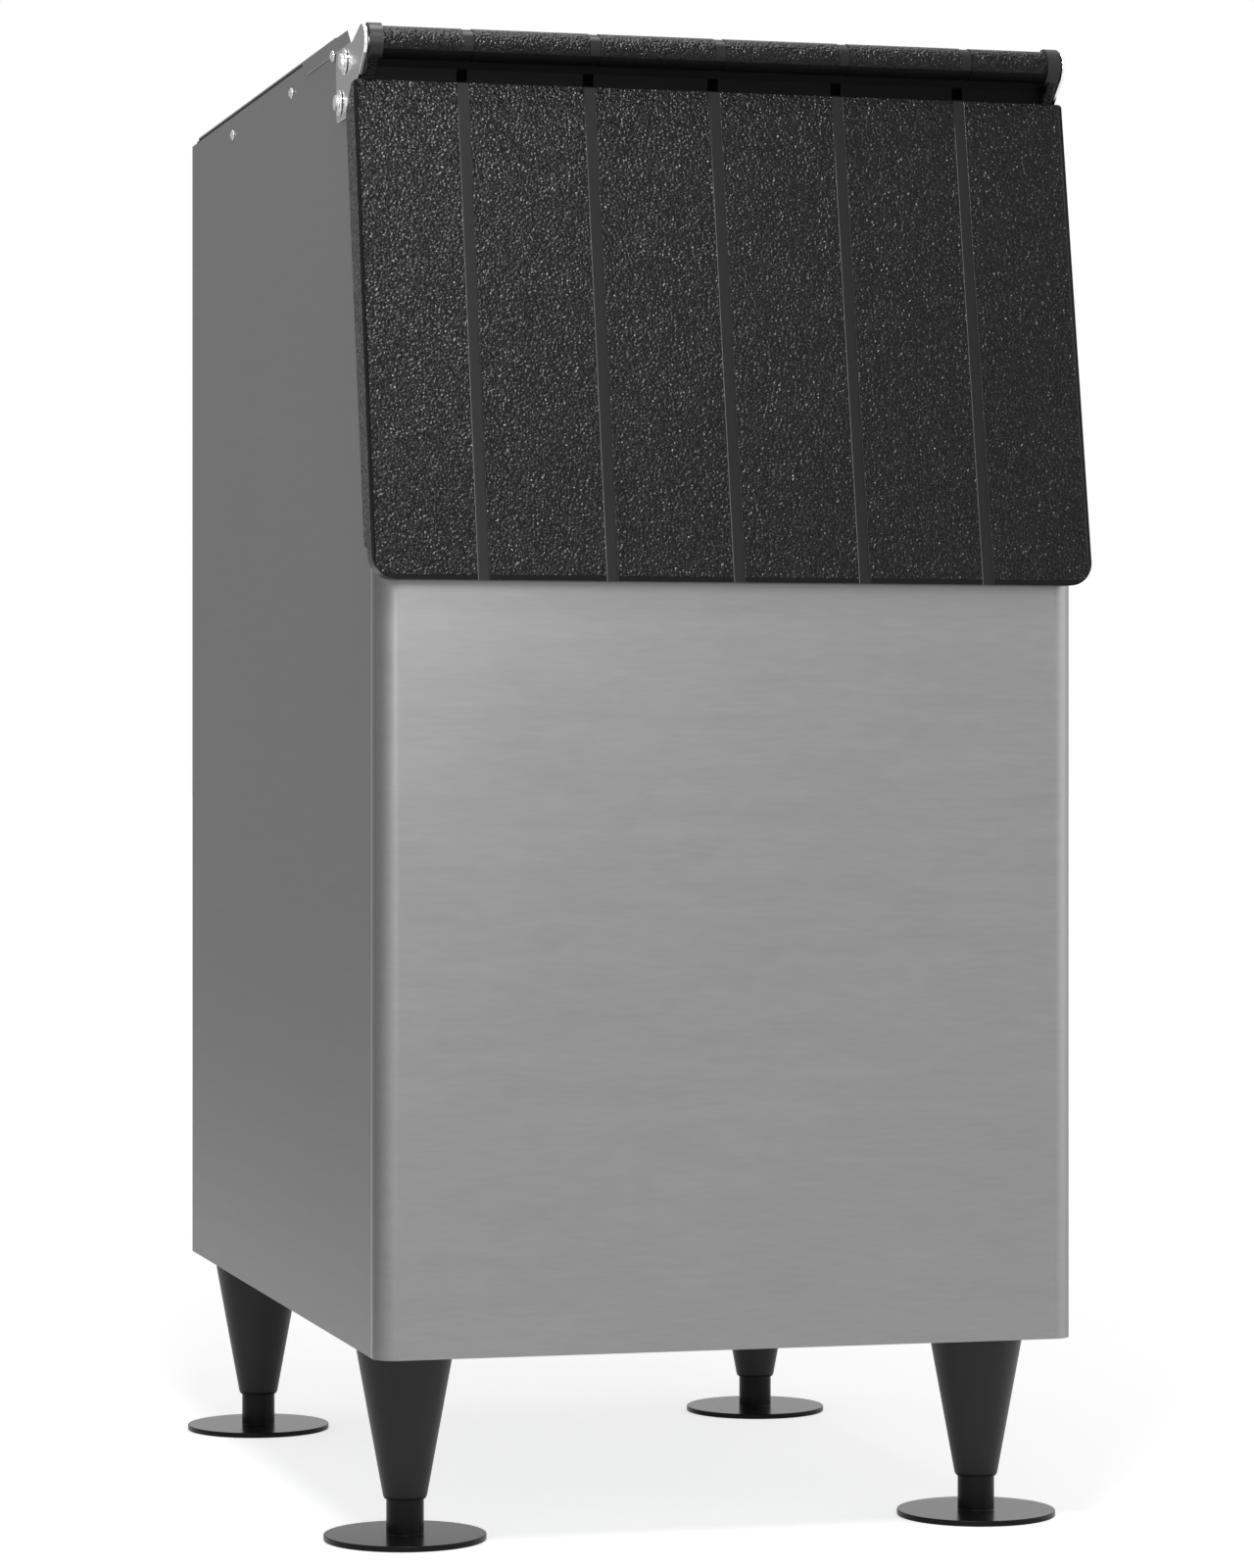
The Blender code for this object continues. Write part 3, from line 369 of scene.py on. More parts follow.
def extruded(name, outlines, low, high, axis):
    """Flat outlines extruded between two levels: X takes (y, z), Y takes (x, z), Z takes (x, y)."""
    curve = bpy.data.curves.new(name, "CURVE")
    curve.dimensions = "2D"
    curve.fill_mode = "BOTH"
    curve.extrude = (high - low) / 2
    for outline in outlines:
        spline = curve.splines.new("POLY")
        spline.points.add(len(outline) - 1)
        for point, (u, v) in zip(spline.points, outline):
            point.co = (u, v, 0, 1)
        spline.use_cyclic_u = True
    source = bpy.data.objects.new(name + "_outline", curve)
    scratch.objects.link(source)
    mesh = bpy.data.meshes.new_from_object(source)
    bpy.data.objects.remove(source, do_unlink=True)
    bpy.data.curves.remove(curve)
    level = (low + high) / 2 if axis != "Y" else -(low + high) / 2
    mesh.transform(AXES[axis] @ Matrix.Translation((0, 0, level)))
    work = bmesh.new()
    work.from_mesh(mesh)
    bmesh.ops.remove_doubles(work, verts=work.verts, dist=merge_distance)
    bmesh.ops.recalc_face_normals(work, faces=work.faces)
    work.to_mesh(mesh)
    work.free()
    return add(name, mesh)


def turned(name, profile, steps=turn_steps, closed=False):
    """Profile of (radius, height) points turned about Z."""
    work = bmesh.new()
    rings = []
    for radius, z in profile:
        if radius == 0:
            rings.append([work.verts.new((0, 0, z))])
        else:
            rings.append([work.verts.new((u, v, z)) for u, v in ring_points(0, 0, radius, steps)])
    pairs = list(zip(rings, rings[1:]))
    if closed:
        pairs.append((rings[-1], rings[0]))
    for high, low in pairs:
        for i in range(steps):
            j = (i + 1) % steps
            corners = [high[i % len(high)], high[j % len(high)], low[j % len(low)], low[i % len(low)]]
            corners = list(dict.fromkeys(corners))
            if len(corners) > 2:
                work.faces.new(corners)
    bmesh.ops.recalc_face_normals(work, faces=work.faces)
    mesh = bpy.data.meshes.new(name)
    work.to_mesh(mesh)
    work.free()
    return add(name, mesh)


def baked(thing):
    """The object with its modifiers turned into plain mesh."""
    graph = bpy.context.evaluated_depsgraph_get()
    mesh = bpy.data.meshes.new_from_object(thing.evaluated_get(graph))
    old = thing.data
    thing.modifiers.clear()
    thing.data = mesh
    bpy.data.meshes.remove(old)
    return thing


def combined(thing, tool, operation="DIFFERENCE"):
    """The object cut by, or joined with, another one, which is used up."""
    step = thing.modifiers.new("shape", "BOOLEAN")
    step.operation = operation
    step.object = tool
    step.solver = "EXACT"
    baked(thing)
    bpy.data.objects.remove(tool, do_unlink=True)
    return thing


def softened(thing, width, segments=3, angle=40):
    """The object with its sharp edges rounded."""
    work = bmesh.new()
    work.from_mesh(thing.data)
    bmesh.ops.dissolve_limit(work, angle_limit=merge_angle, verts=work.verts, edges=work.edges)
    work.to_mesh(thing.data)
    work.free()
    step = thing.modifiers.new("edges", "BEVEL")
    step.width = width
    step.segments = segments
    step.limit_method = "ANGLE"
    step.angle_limit = math.radians(angle)
    step.use_clamp_overlap = True
    return baked(thing)


def laid_along_x(thing, x, y, z, side):
    """A turned piece laid along X with its top facing outwards on one side."""
    thing.data.transform(Matrix.Translation((x, y, z)) @ Matrix.Rotation(side * math.pi / 2, 4, "Y"))
    return thing


def face_y(z):
    """Depth of the cabinet's slanted face at a height."""
    return front_y + (z - sill_z) * face_slope_share


def door_front_y(z):
    """Depth of the door's front plane at a height."""
    return door_line_y + (z - door_line_z) * door_slope_share


def centre_of(node):
    """Depth and height of a node's middle."""
    low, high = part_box(node)
    return (low.y + high.y) / 2, (low.z + high.z) / 2


def outer_x(node):
    """Distance of a node's outer end from the middle plane."""
    low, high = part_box(node)
    return max(-low.x, high.x)


def piece(thing, body, slot, surfaces, *replaced, crease=smooth_angle):
    """Finishes a piece: its surfaces and shading, the body it rides on and the nodes it stands for."""
    for surface in surfaces:
        thing.data.materials.append(surface)
    thing.data.shade_smooth()
    thing.data.set_sharp_from_angle(angle=crease)
    step = thing.modifiers.new("normals", "WEIGHTED_NORMAL")
    step.keep_sharp = True
    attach(thing, body)
    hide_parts(*replaced)
    return thing


def arithmetic(tree, first, second, operation="ADD"):
    """Arithmetic on two values, each a number or another node's output."""
    made = tree.nodes.new("ShaderNodeMath")
    made.operation = operation
    for socket, value in zip(made.inputs, (first, second)):
        if isinstance(value, (int, float)):
            socket.default_value = value
        else:
            tree.links.new(value, socket)
    return made.outputs["Value"]


def spread_value(tree, source, low, high, from_low=0.0, from_high=1.0, blend="LINEAR"):
    """Value that goes from a low level to a high one."""
    made = tree.nodes.new("ShaderNodeMapRange")
    made.interpolation_type = blend
    made.inputs["From Min"].default_value = from_low
    made.inputs["From Max"].default_value = from_high
    made.inputs["To Min"].default_value = low
    made.inputs["To Max"].default_value = high
    tree.links.new(source, made.inputs["Value"])
    return made.outputs["Result"]


class Surface:
    """A material with its shader and a short way to add nodes."""

    def __init__(self, name, roughness=0.5, metallic=0.0, specular=0.5):
        self.material = bpy.data.materials.new(name)
        self.material.use_nodes = True
        self.tree = self.material.node_tree
        self.shader = self.tree.nodes["Principled BSDF"]
        self.shader.inputs["Roughness"].default_value = roughness
        self.shader.inputs["Metallic"].default_value = metallic
        self.shader.inputs["Specular IOR Level"].default_value = specular
        self.places = self.tree.nodes.new("ShaderNodeTexCoord").outputs["Object"]

    def link(self, source, target):
        """Joins an output to an input."""
        self.tree.links.new(source, target)

    def stretched(self, stretch):
        """The object's own places, stretched by a factor along each axis."""
        mapping = self.tree.nodes.new("ShaderNodeMapping")
        mapping.inputs["Scale"].default_value = stretch
        self.link(self.places, mapping.inputs["Vector"])
        return mapping.outputs["Vector"]

    def noise(self, scale, stretch=(1, 1, 1), detail=3.0):
        """Noise over the object's own places."""
        texture = self.tree.nodes.new("ShaderNodeTexNoise")
        texture.inputs["Scale"].default_value = scale
        texture.inputs["Detail"].default_value = detail
        self.link(self.stretched(stretch), texture.inputs["Vector"])
        return texture.outputs["Fac"]

    def cells(self, scale):
        """Voronoi cells over the object's own places: distance to the nearest one, and its own grey."""
        texture = self.tree.nodes.new("ShaderNodeTexVoronoi")
        texture.inputs["Scale"].default_value = scale
        self.link(self.places, texture.inputs["Vector"])
        split = self.tree.nodes.new("ShaderNodeSeparateColor")
        self.link(texture.outputs["Color"], split.inputs["Color"])
        return texture.outputs["Distance"], split.outputs["Red"]

    def ramp(self, source, stops):
        """Colour ramp from (position, grey or colour) stops."""
        made = self.tree.nodes.new("ShaderNodeValToRGB")
        for element, (position, colour) in zip(made.color_ramp.elements, stops):
            element.position = position
            if isinstance(colour, (int, float)):
                colour = (colour, colour, colour)
            element.color = (*colour, 1)
        self.link(source, made.inputs["Fac"])
        return made.outputs["Color"]

    def scaled(self, source, low, high, from_low=0.0, from_high=1.0):
        """Value spread between two levels."""
        return spread_value(self.tree, source, low, high, from_low, from_high)

    def sums(self, first, second, operation="ADD"):
        """Arithmetic on two values."""
        return arithmetic(self.tree, first, second, operation)

    def paint(self, source):
        """Sets the base colour."""
        self.link(source, self.shader.inputs["Base Color"])

    def roughen(self, source):
        """Sets the roughness."""
        self.link(source, self.shader.inputs["Roughness"])

    def bump(self, *layers):
        """Bump layers given as (height, strength, distance), the coarse ones first."""
        normal = None
        for height, strength, distance in layers:
            made = self.tree.nodes.new("ShaderNodeBump")
            made.inputs["Strength"].default_value = strength
            made.inputs["Distance"].default_value = distance
            self.link(height, made.inputs["Height"])
            if normal:
                self.link(normal, made.inputs["Normal"])
            normal = made.outputs["Normal"]
        self.link(normal, self.shader.inputs["Normal"])


def brushed_steel(name, level, along, roughness=0.42, spread=0.03, across=900):
    """Brushed stainless sheet, its grain running along X or Y, with so many lines to the metre across it."""
    surface = Surface(name, roughness, metallic=1.0)
    stretch = (lines_along, across, across) if along == "X" else (across, lines_along, across)
    fine = surface.noise(1.0, stretch, detail=2.0)
    broad = surface.noise(broad_scale, stretch, detail=2.0)
    cloud = surface.noise(cloud_scale)
    streaks = surface.sums(surface.scaled(fine, 0.0, fine_share), surface.scaled(broad, 0.0, broad_share))
    tone = surface.scaled(streaks, level * (1 - spread), level * (1 + spread))
    tone = surface.sums(tone, surface.scaled(cloud, 1 - cloud_spread, 1 + cloud_spread), "MULTIPLY")
    tint = surface.tree.nodes.new("ShaderNodeCombineColor")
    for socket, share in zip(tint.inputs, cool_tint):
        surface.link(surface.sums(tone, share, "MULTIPLY"), socket)
    surface.paint(tint.outputs["Color"])
    surface.roughen(surface.scaled(streaks, roughness - streak_roughness, roughness + streak_roughness))
    surface.bump((streaks, streak_strength, streak_depth / across))
    return surface.material


def polished_metal(name, level, roughness):
    """Bright plated steel with faint polishing marks."""
    surface = Surface(name, roughness, metallic=1.0)
    marks = surface.noise(900, detail=2.0)
    cloud = surface.noise(60)
    surface.paint(surface.ramp(cloud, ((0.3, level * 0.97), (0.7, level))))
    surface.roughen(surface.scaled(marks, roughness - 0.03, roughness + 0.04))
    surface.bump((marks, 0.05, 0.00003))
    return surface.material


def zinc_sheet(name):
    """Galvanised sheet with its spangle."""
    surface = Surface(name, roughness=0.42, metallic=1.0)
    flakes = surface.cells(70)[1]
    fine = surface.noise(400, detail=2.0)
    surface.paint(surface.ramp(flakes, ((0.0, zinc_dark), (1.0, zinc_light))))
    surface.roughen(surface.scaled(flakes, 0.34, 0.52))
    surface.bump((fine, 0.10, 0.00005))
    return surface.material


def plain_plastic(name, colour, roughness, specular, grain=1200, spread=0.08):
    """Moulded plastic with a fine moulding texture and a faint change of tone."""
    surface = Surface(name, roughness, specular=specular)
    fine = surface.noise(grain, detail=2.0)
    cloud = surface.noise(9)
    low = tuple(c * (1 - spread) for c in colour)
    high = tuple(c * (1 + spread) for c in colour)
    surface.paint(surface.ramp(cloud, ((0.3, low), (0.7, high))))
    surface.roughen(surface.scaled(fine, roughness - 0.05, roughness + 0.05))
    surface.bump((cloud, 0.05, 0.0002), (fine, 0.30, 0.00003))
    return surface.material


def pebbled_plastic(name, specular, speck_and_glint_level, bordered):
    """Charcoal plastic with a coarse pebbled grain, whose slopes catch the lamps, and light specks in its
    colour: a faint grain tone at a low speck level, painted glints at a high one.
    """
    surface = Surface(name, roughness=0.20, specular=specular)
    pebbles = surface.cells(pebbles_per_metre)[0]
    grain = surface.noise(specks_per_metre, detail=1.0)
    patches = surface.noise(patches_per_metre)
    apart = surface.tree.nodes.new("ShaderNodeSeparateXYZ")
    surface.link(surface.places, apart.inputs["Vector"])
    above = surface.scaled(apart.outputs["Z"], 0.0, 1.0, door_bottom_z + grain_margin,
                           door_bottom_z + grain_margin + grain_fade)
    across = surface.sums(apart.outputs["X"], 0.0, "ABSOLUTE")
    inside = surface.scaled(across, 1.0, 0.0, door_half_width - grain_margin,
                            door_half_width - grain_margin + grain_fade)
    extent = surface.sums(above, inside if bordered else 1.0, "MULTIPLY")
    speckle = surface.sums(grain, extent, "MULTIPLY")
    surface.paint(surface.ramp(speckle, ((speck_start, pebble_dark), (speck_end, speck_and_glint_level))))
    domes = surface.sums(pebbles, pebbles, "MULTIPLY")
    height = surface.sums(surface.scaled(domes, pebble_share, 0.0), surface.scaled(grain, 0.0, pebble_share))
    surface.roughen(surface.scaled(patches, *pebble_roughness))
    surface.bump((surface.sums(height, extent, "MULTIPLY"), 1.0, pebble_height))
    return surface.material


def rubber(name):
    """Matt black rubber."""
    surface = Surface(name, roughness=0.75, specular=0.3)
    fine = surface.noise(900)
    surface.paint(surface.ramp(fine, ((0.3, 0.010), (0.7, 0.018))))
    surface.roughen(surface.scaled(fine, 0.68, 0.85))
    surface.bump((fine, 0.3, 0.00005))
    return surface.material


def foam(name):
    """Poured foam with its pores."""
    surface = Surface(name, roughness=0.9, specular=0.2)
    pores = surface.cells(900)[0]
    cloud = surface.noise(14, detail=4.0)
    surface.paint(surface.ramp(cloud, ((0.25, foam_dark), (0.75, foam_light))))
    surface.bump((cloud, 0.3, 0.002), (pores, 0.6, 0.0006))
    return surface.material


ice_white = (0.74, 0.76, 0.78)
cream_white = (0.78, 0.78, 0.74)
charcoal = (0.013, 0.013, 0.0135)
# Lighter charcoal for the groove lips: part of a painted highlight line
lip_highlight_charcoal = (0.016, 0.016, 0.0165)
# Near-black copies of the charcoal for the neck, the barrel's underside and the pockets: painted shade
neck_shade_black = (0.005, 0.005, 0.005)
pocket_shade_black = (0.0017, 0.0017, 0.0017)
leg_black = (0.023, 0.023, 0.024)
foot_black = (0.008, 0.008, 0.0083)
zinc_dark, zinc_light = (0.40, 0.41, 0.42), (0.56, 0.57, 0.58)
foam_dark, foam_light = (0.70, 0.62, 0.38), (0.84, 0.77, 0.54)

front_steel = brushed_steel("front_steel", 0.279, "X", roughness=0.34, spread=0.12, across=350)
# Rougher and slightly darker copy of the front steel for the wrapped corners: the roughness softens their
# highlight, and the darker colour is painted shade over it
corner_steel = brushed_steel("corner_steel", 0.266, "X", roughness=0.44, spread=0.12, across=350)
side_steel = brushed_steel("side_steel", 0.260, "Y")
# Near-white copy of the side steel for the hem along each side panel's front edge: a painted highlight line
hem_steel = brushed_steel("hem_steel", 0.82, "Y", roughness=0.30)
# Near-white copy of the steel for the down-facing edges of the cover's flanges: a painted highlight over the
# shade under them
edge_steel = brushed_steel("edge_steel", 0.92, "Y")
cover_steel = brushed_steel("cover_steel", 0.265, "X")
seat_steel = brushed_steel("seat_steel", 0.250, "X")
strainer_steel = brushed_steel("strainer_steel", 0.45, "X", roughness=0.35)
bright_metal = polished_metal("bright_metal", 0.95, roughness=0.12)
# Darker copy of the plated steel for the brackets' flat faces: painted shade, against the bright copy on
# their edges, a painted highlight
bracket_metal = polished_metal("bracket_metal", 0.44, roughness=0.14)
zinc = zinc_sheet("zinc_sheet")
door_grain = pebbled_plastic("door_grain", specular=0.165, speck_and_glint_level=0.013, bordered=True)
# The flanges' bright specks are painted glints on top of the pebbled grain
flange_grain = pebbled_plastic("flange_grain", specular=0.02, speck_and_glint_level=0.155, bordered=False)
lug_grain = pebbled_plastic("lug_grain", specular=0.165, speck_and_glint_level=0.013, bordered=False)
door_smooth = plain_plastic("door_smooth", charcoal, roughness=0.32, specular=0.20)
# Lighter, far glossier copy of the charcoal for the groove lips: a painted highlight line
door_lip = plain_plastic("door_lip", lip_highlight_charcoal, roughness=0.22, specular=1.0)
lug_smooth = plain_plastic("lug_smooth", charcoal, roughness=0.34, specular=0.34)
# Neck and pocket copies of the charcoal, darker and duller: painted shade under the barrel
door_neck = plain_plastic("door_neck", neck_shade_black, roughness=0.42, specular=0.05)
door_pocket = plain_plastic("door_pocket", pocket_shade_black, roughness=0.60, specular=0.01)
leg_plastic = plain_plastic("leg_plastic", leg_black, roughness=0.38, specular=0.26)
foot_plastic = plain_plastic("foot_plastic", foot_black, roughness=0.25, specular=0.14)
liner_plastic = plain_plastic(
    "liner_plastic", ice_white, roughness=0.32, specular=0.45, grain=900, spread=0.02)
bearing_plastic = plain_plastic("bearing_plastic", cream_white, roughness=0.40, specular=0.45, spread=0.03)
gasket_rubber = rubber("gasket_rubber")
insulation_foam = foam("insulation_foam")

# Carried-over nodes
carried = {
    "rear_panel": zinc, "bottom_pan": zinc, "liner_tub": liner_plastic, "access_frame": liner_plastic,
    "ice_baffle": liner_plastic, "door_inner_panel": liner_plastic, "door_core": insulation_foam,
    "top_gasket": gasket_rubber, "door_gasket": gasket_rubber, "drain_strainer": strainer_steel,
    "left_hinge_bush": bearing_plastic, "right_hinge_bush": bearing_plastic,
    "left_baffle_hanger": bearing_plastic, "right_baffle_hanger": bearing_plastic,
    "drain_fitting": foot_plastic, "drain_nut": foot_plastic,
}
carried.update({name: insulation_foam for name in nodes if name.startswith("insulation_")})
carried.update({name: zinc for name in nodes if name.startswith("leg_mount_")})
for name, surface in carried.items():
    nodes[name].data.materials.clear()
    nodes[name].data.materials.append(surface)


def face_wedge():
    """Block in front of the slanted face."""
    ledge_y = face_y(face_top_z) + face_ledge_run
    crest_y = ledge_y + face_top_run
    return extruded("face_wedge", [[
        (front_y - overrun, sill_z), (front_y, sill_z), (face_y(face_top_z), face_top_z),
        (ledge_y, face_top_z), (crest_y, side_top_z), (crest_y, side_top_z + overrun),
        (front_y - overrun, side_top_z + overrun)]], -overrun, overrun, "X")


# Front panel, wrapped round both front corners
corner_x = half_width - corner_radius
corner_y = front_y + corner_radius
inner_radius = corner_radius - sheet
wrap_steps = 2 * fillet_steps
wrap = arc(-corner_x, corner_y, corner_radius, 180, 270, wrap_steps)
wrap += arc(corner_x, corner_y, corner_radius, 270, 360, wrap_steps)
wrap += arc(corner_x, corner_y, inner_radius, 360, 270, wrap_steps)
wrap += arc(-corner_x, corner_y, inner_radius, 270, 180, wrap_steps)
panel_top_z = sill_z + corner_radius / face_slope_share
panel = extruded("front_panel_skin", [wrap], body_bottom_z, panel_top_z, "Z")
combined(panel, face_wedge())
softened(panel, sheet_edge, segments=2)
# The wrapped corners take the darker, rougher copy: painted shade over their highlight
for face in panel.data.polygons:
    face.material_index = 1 if abs(face.center.x) > corner_x and face.center.y < corner_y else 0
piece(panel, "cabinet", "casing", [front_steel, corner_steel], "front_panel", crease=panel_crease)

# Side panels with a rear return
for side, side_name in SIDES:
    name = side_name + "_side_panel"
    outer, inner = side * half_width, side * (half_width - sheet)
    plan = rounded([
        (outer - side * hem_drop, corner_y + seam_gap, 0), (outer, corner_y + seam_gap + hem_width, 0),
        (outer, rear_y, rear_corner_radius),
        (outer - side * rear_return, rear_y, 0), (outer - side * rear_return, rear_y - sheet, 0),
        (inner, rear_y - sheet, rear_corner_radius - sheet), (inner, corner_y + seam_gap, 0)])
    panel = extruded(name + "_skin", [plan], body_bottom_z, side_top_z, "Z")
    combined(panel, face_wedge())
    softened(panel, sheet_edge, segments=2)
    # The hem faces that look outwards take the near-white copy: a painted highlight line along the front edge
    for face in panel.data.polygons:
        on_hem = face.center.y < corner_y + seam_gap + hem_width * hem_seen_share
        face.material_index = 1 if on_hem and face.normal.x * side > side_share else 0
    piece(panel, "cabinet", "casing", [side_steel, hem_steel], name)

# Top front cover with a folded lip and side flanges
cover = extruded("top_front_cover_skin", [rounded([
    (cover_high.y, cover_high.z - sheet, 0), (cover_high.y, cover_high.z, 0),
    (cover_tip_y, cover_high.z, cover_tip_radius), (cover_low.y, cover_low.z, 0),
    (cover_low.y + sheet, cover_low.z, 0),
    (cover_tip_y + sheet / 2, cover_high.z - sheet, cover_tip_radius - sheet)])],
    -cover_high.x, cover_high.x, "X")
for low in (-cover_high.x, cover_high.x - sheet):
    flange = extruded("flange", [[
        (cover_high.y, cover_high.z - sheet / 2), (cover_tip_y + sheet, cover_high.z - sheet / 2),
        (cover_low.y + sheet / 2, cover_low.z + sheet / 4), (cover_flange_rear_y, cover_low.z)]],
        low, low + sheet, "X")
    combined(cover, flange, "UNION")
softened(cover, sheet_edge, segments=2)
# Down-facing flange edges take the near-white copy: a painted highlight over the shade line
for face in cover.data.polygons:
    on_flange = abs(face.center.x) > cover_high.x - sheet
    face.material_index = 1 if on_flange and face.normal.z < -side_share else 0
piece(cover, "cabinet", "casing", [cover_steel, edge_steel], "top_front_cover")

# Seat frame
drop_hole_x = half_width - drop_rim_side
seat = extruded("top_frame_skin", [
    box_outline(-half_width, half_width, seat_low.y, seat_high.y, seat_radius),
    box_outline(-drop_hole_x, drop_hole_x, seat_low.y + drop_rim_front, seat_high.y - drop_rim_rear,
                drop_hole_radius)], seat_low.z, seat_high.z, "Z")
piece(softened(seat, seat_edge), "cabinet", "casing", [seat_steel], "top_frame")

# Hinge brackets and the pin: the flat faces take a darker copy of the plated steel, painted shade, and the
# edges and pin the bright one, a painted highlight
ear = arc(pivot_y, pivot_z, ear_radius, ear_top_angle, ear_low_angle, 3 * fillet_steps)
bracket_outline = ear + rounded([(*ear[-1], 0)] + by_pivot([
    (bracket_knee_run, bracket_knee_drop, bracket_corner_radius),
    (bracket_low_run, bracket_low_drop, bracket_corner_radius),
    (bracket_rear_run, bracket_low_drop, bracket_corner_radius),
    (bracket_rear_run, bracket_top_drop, bracket_corner_radius),
    (bracket_saddle_run, bracket_top_drop, 0)]) + [(*ear[0], 0)])[1:-1]
pin_length = bracket_inner_x - bracket_low.x
pin_profile = rounded([
    (0, pin_root, 0), (pin_radius, pin_root, 0), (pin_radius, -pin_length, pin_chamfer),
    (0, -pin_length, 0)])
for side, side_name in SIDES:
    name = side_name + "_hinge_bracket"
    low, high = sorted((side * bracket_inner_x, side * bracket_high.x))
    bracket = softened(extruded(name + "_skin", [bracket_outline], low, high, "X"), bracket_edge, segments=4)
    pin = turned("pin", pin_profile)
    laid_along_x(pin, side * bracket_inner_x, pivot_y, pivot_z, side)
    combined(bracket, pin, "UNION")
    # Flat faces take the darker copy, painted shade; edges and pin the bright one, a painted highlight
    for face in bracket.data.polygons:
        face.material_index = 0 if abs(face.normal.x) > flat_share else 1
    piece(bracket, "cabinet", "bright_metal", [bracket_metal, bright_metal], name)


def recess_arm(top, turn):
    """One arm of the cross-shaped driver recess, narrower at its floor."""
    work = bmesh.new()
    made = bmesh.ops.create_cube(work, size=1.0)["verts"]
    for vert in made:
        narrow = 1.0 if vert.co.z > 0 else recess_taper
        vert.co.x *= 2 * recess_radius * narrow
        vert.co.y *= recess_width * narrow
        vert.co.z = top + recess_depth if vert.co.z > 0 else top - recess_depth
    bmesh.ops.rotate(work, verts=made, matrix=Matrix.Rotation(turn, 3, "Z"))
    mesh = bpy.data.meshes.new("recess")
    work.to_mesh(mesh)
    work.free()
    return add("recess", mesh)


# Hexagon bolts with washers, and side screws
bolt_blank_radius = bolt_hex_radius + bolt_edge
bolt_profile = [
    (0, bolt_head_height), (bolt_hex_radius - bolt_chamfer_run, bolt_head_height),
    (bolt_blank_radius, bolt_head_height - bolt_chamfer_drop), (bolt_blank_radius, 0),
    (bolt_shank_radius, 0), (bolt_shank_radius, -bolt_shank_length), (0, -bolt_shank_length)]
washer_profile = rounded([
    (washer_bore_radius, washer_thickness, washer_edge), (washer_radius, washer_thickness, washer_edge),
    (washer_radius, 0, washer_edge), (washer_bore_radius, 0, washer_edge)])
screw_profile = rounded([
    (0, screw_head_height, 0),
    (screw_head_radius * screw_crown_share, screw_head_height, screw_crown_radius),
    (screw_head_radius, screw_rim_height, screw_rim_radius), (screw_head_radius, 0, 0),
    (screw_shank_radius, 0, 0), (screw_shank_radius, -screw_shank_length, 0), (0, -screw_shank_length, 0)])
for side, side_name in SIDES:
    for level in ("upper", "lower"):
        name = f"{side_name}_bolt_{level}"
        bolt = turned(name + "_skin", bolt_profile)
        flats = extruded("flats", [ring_points(0, 0, bolt_hex_radius, 6)], -2 * bolt_shank_length,
                         2 * bolt_head_height, "Z")
        combined(bolt, softened(flats, bolt_edge), "INTERSECT")
        laid_along_x(bolt, side * (outer_x(name) - bolt_head_height), *centre_of(name), side)
        piece(bolt, "cabinet", "bright_metal", [bright_metal], name)
        name = f"{side_name}_washer_{level}"
        washer = turned(name + "_skin", washer_profile, closed=True)
        laid_along_x(washer, side * (outer_x(name) - washer_thickness), *centre_of(name), side)
        piece(washer, "cabinet", "bright_metal", [bright_metal], name)
    for place in ("rear", "middle", "front"):
        name = f"{side_name}_screw_{place}"
        screw = turned(name + "_skin", screw_profile)
        for turn in (0, math.pi / 2):
            combined(screw, recess_arm(screw_head_height, turn))
        laid_along_x(screw, side * (outer_x(name) - screw_head_height), *centre_of(name), side)
        piece(screw, "cabinet", "bright_metal", [bright_metal], name)

# Legs and levelling feet
leg_profile = rounded([
    (stud_bore_radius, leg_high.z, 0), (leg_top_radius, leg_high.z, leg_edge),
    (leg_top_radius, leg_high.z - leg_collar, leg_waist_radius),
    (leg_low_radius, leg_low.z + leg_low_chamfer, leg_edge),
    (leg_low_radius - leg_low_bevel, leg_low.z, leg_tip_radius), (leg_bore_radius, leg_low.z, 0),
    (leg_bore_radius, leg_high.z - leg_bore_drop, 0), (stud_bore_radius, leg_high.z - leg_bore_drop, 0)])
foot_profile = rounded([
    (0, foot_high.z, 0), (stem_radius, foot_high.z, stem_edge),
    (stem_radius, foot_thickness, stem_root_radius), (foot_radius, foot_thickness, foot_edge),
    (foot_radius, 0, foot_edge / 2), (0, 0, 0)])
for place in ("front_left", "front_right", "rear_left", "rear_right"):
    low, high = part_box("leg_" + place)
    stand = Matrix.Translation(((low.x + high.x) / 2, (low.y + high.y) / 2, 0))
    leg = turned(f"leg_{place}_skin", leg_profile, closed=True)
    leg.data.transform(stand)
    piece(leg, "cabinet", "leg_black", [leg_plastic], "leg_" + place)
    foot = turned(f"foot_{place}_skin", foot_profile)
    foot.data.transform(stand)
    piece(foot, "levelling_foot_" + place, "foot_black", [foot_plastic], "foot_" + place)

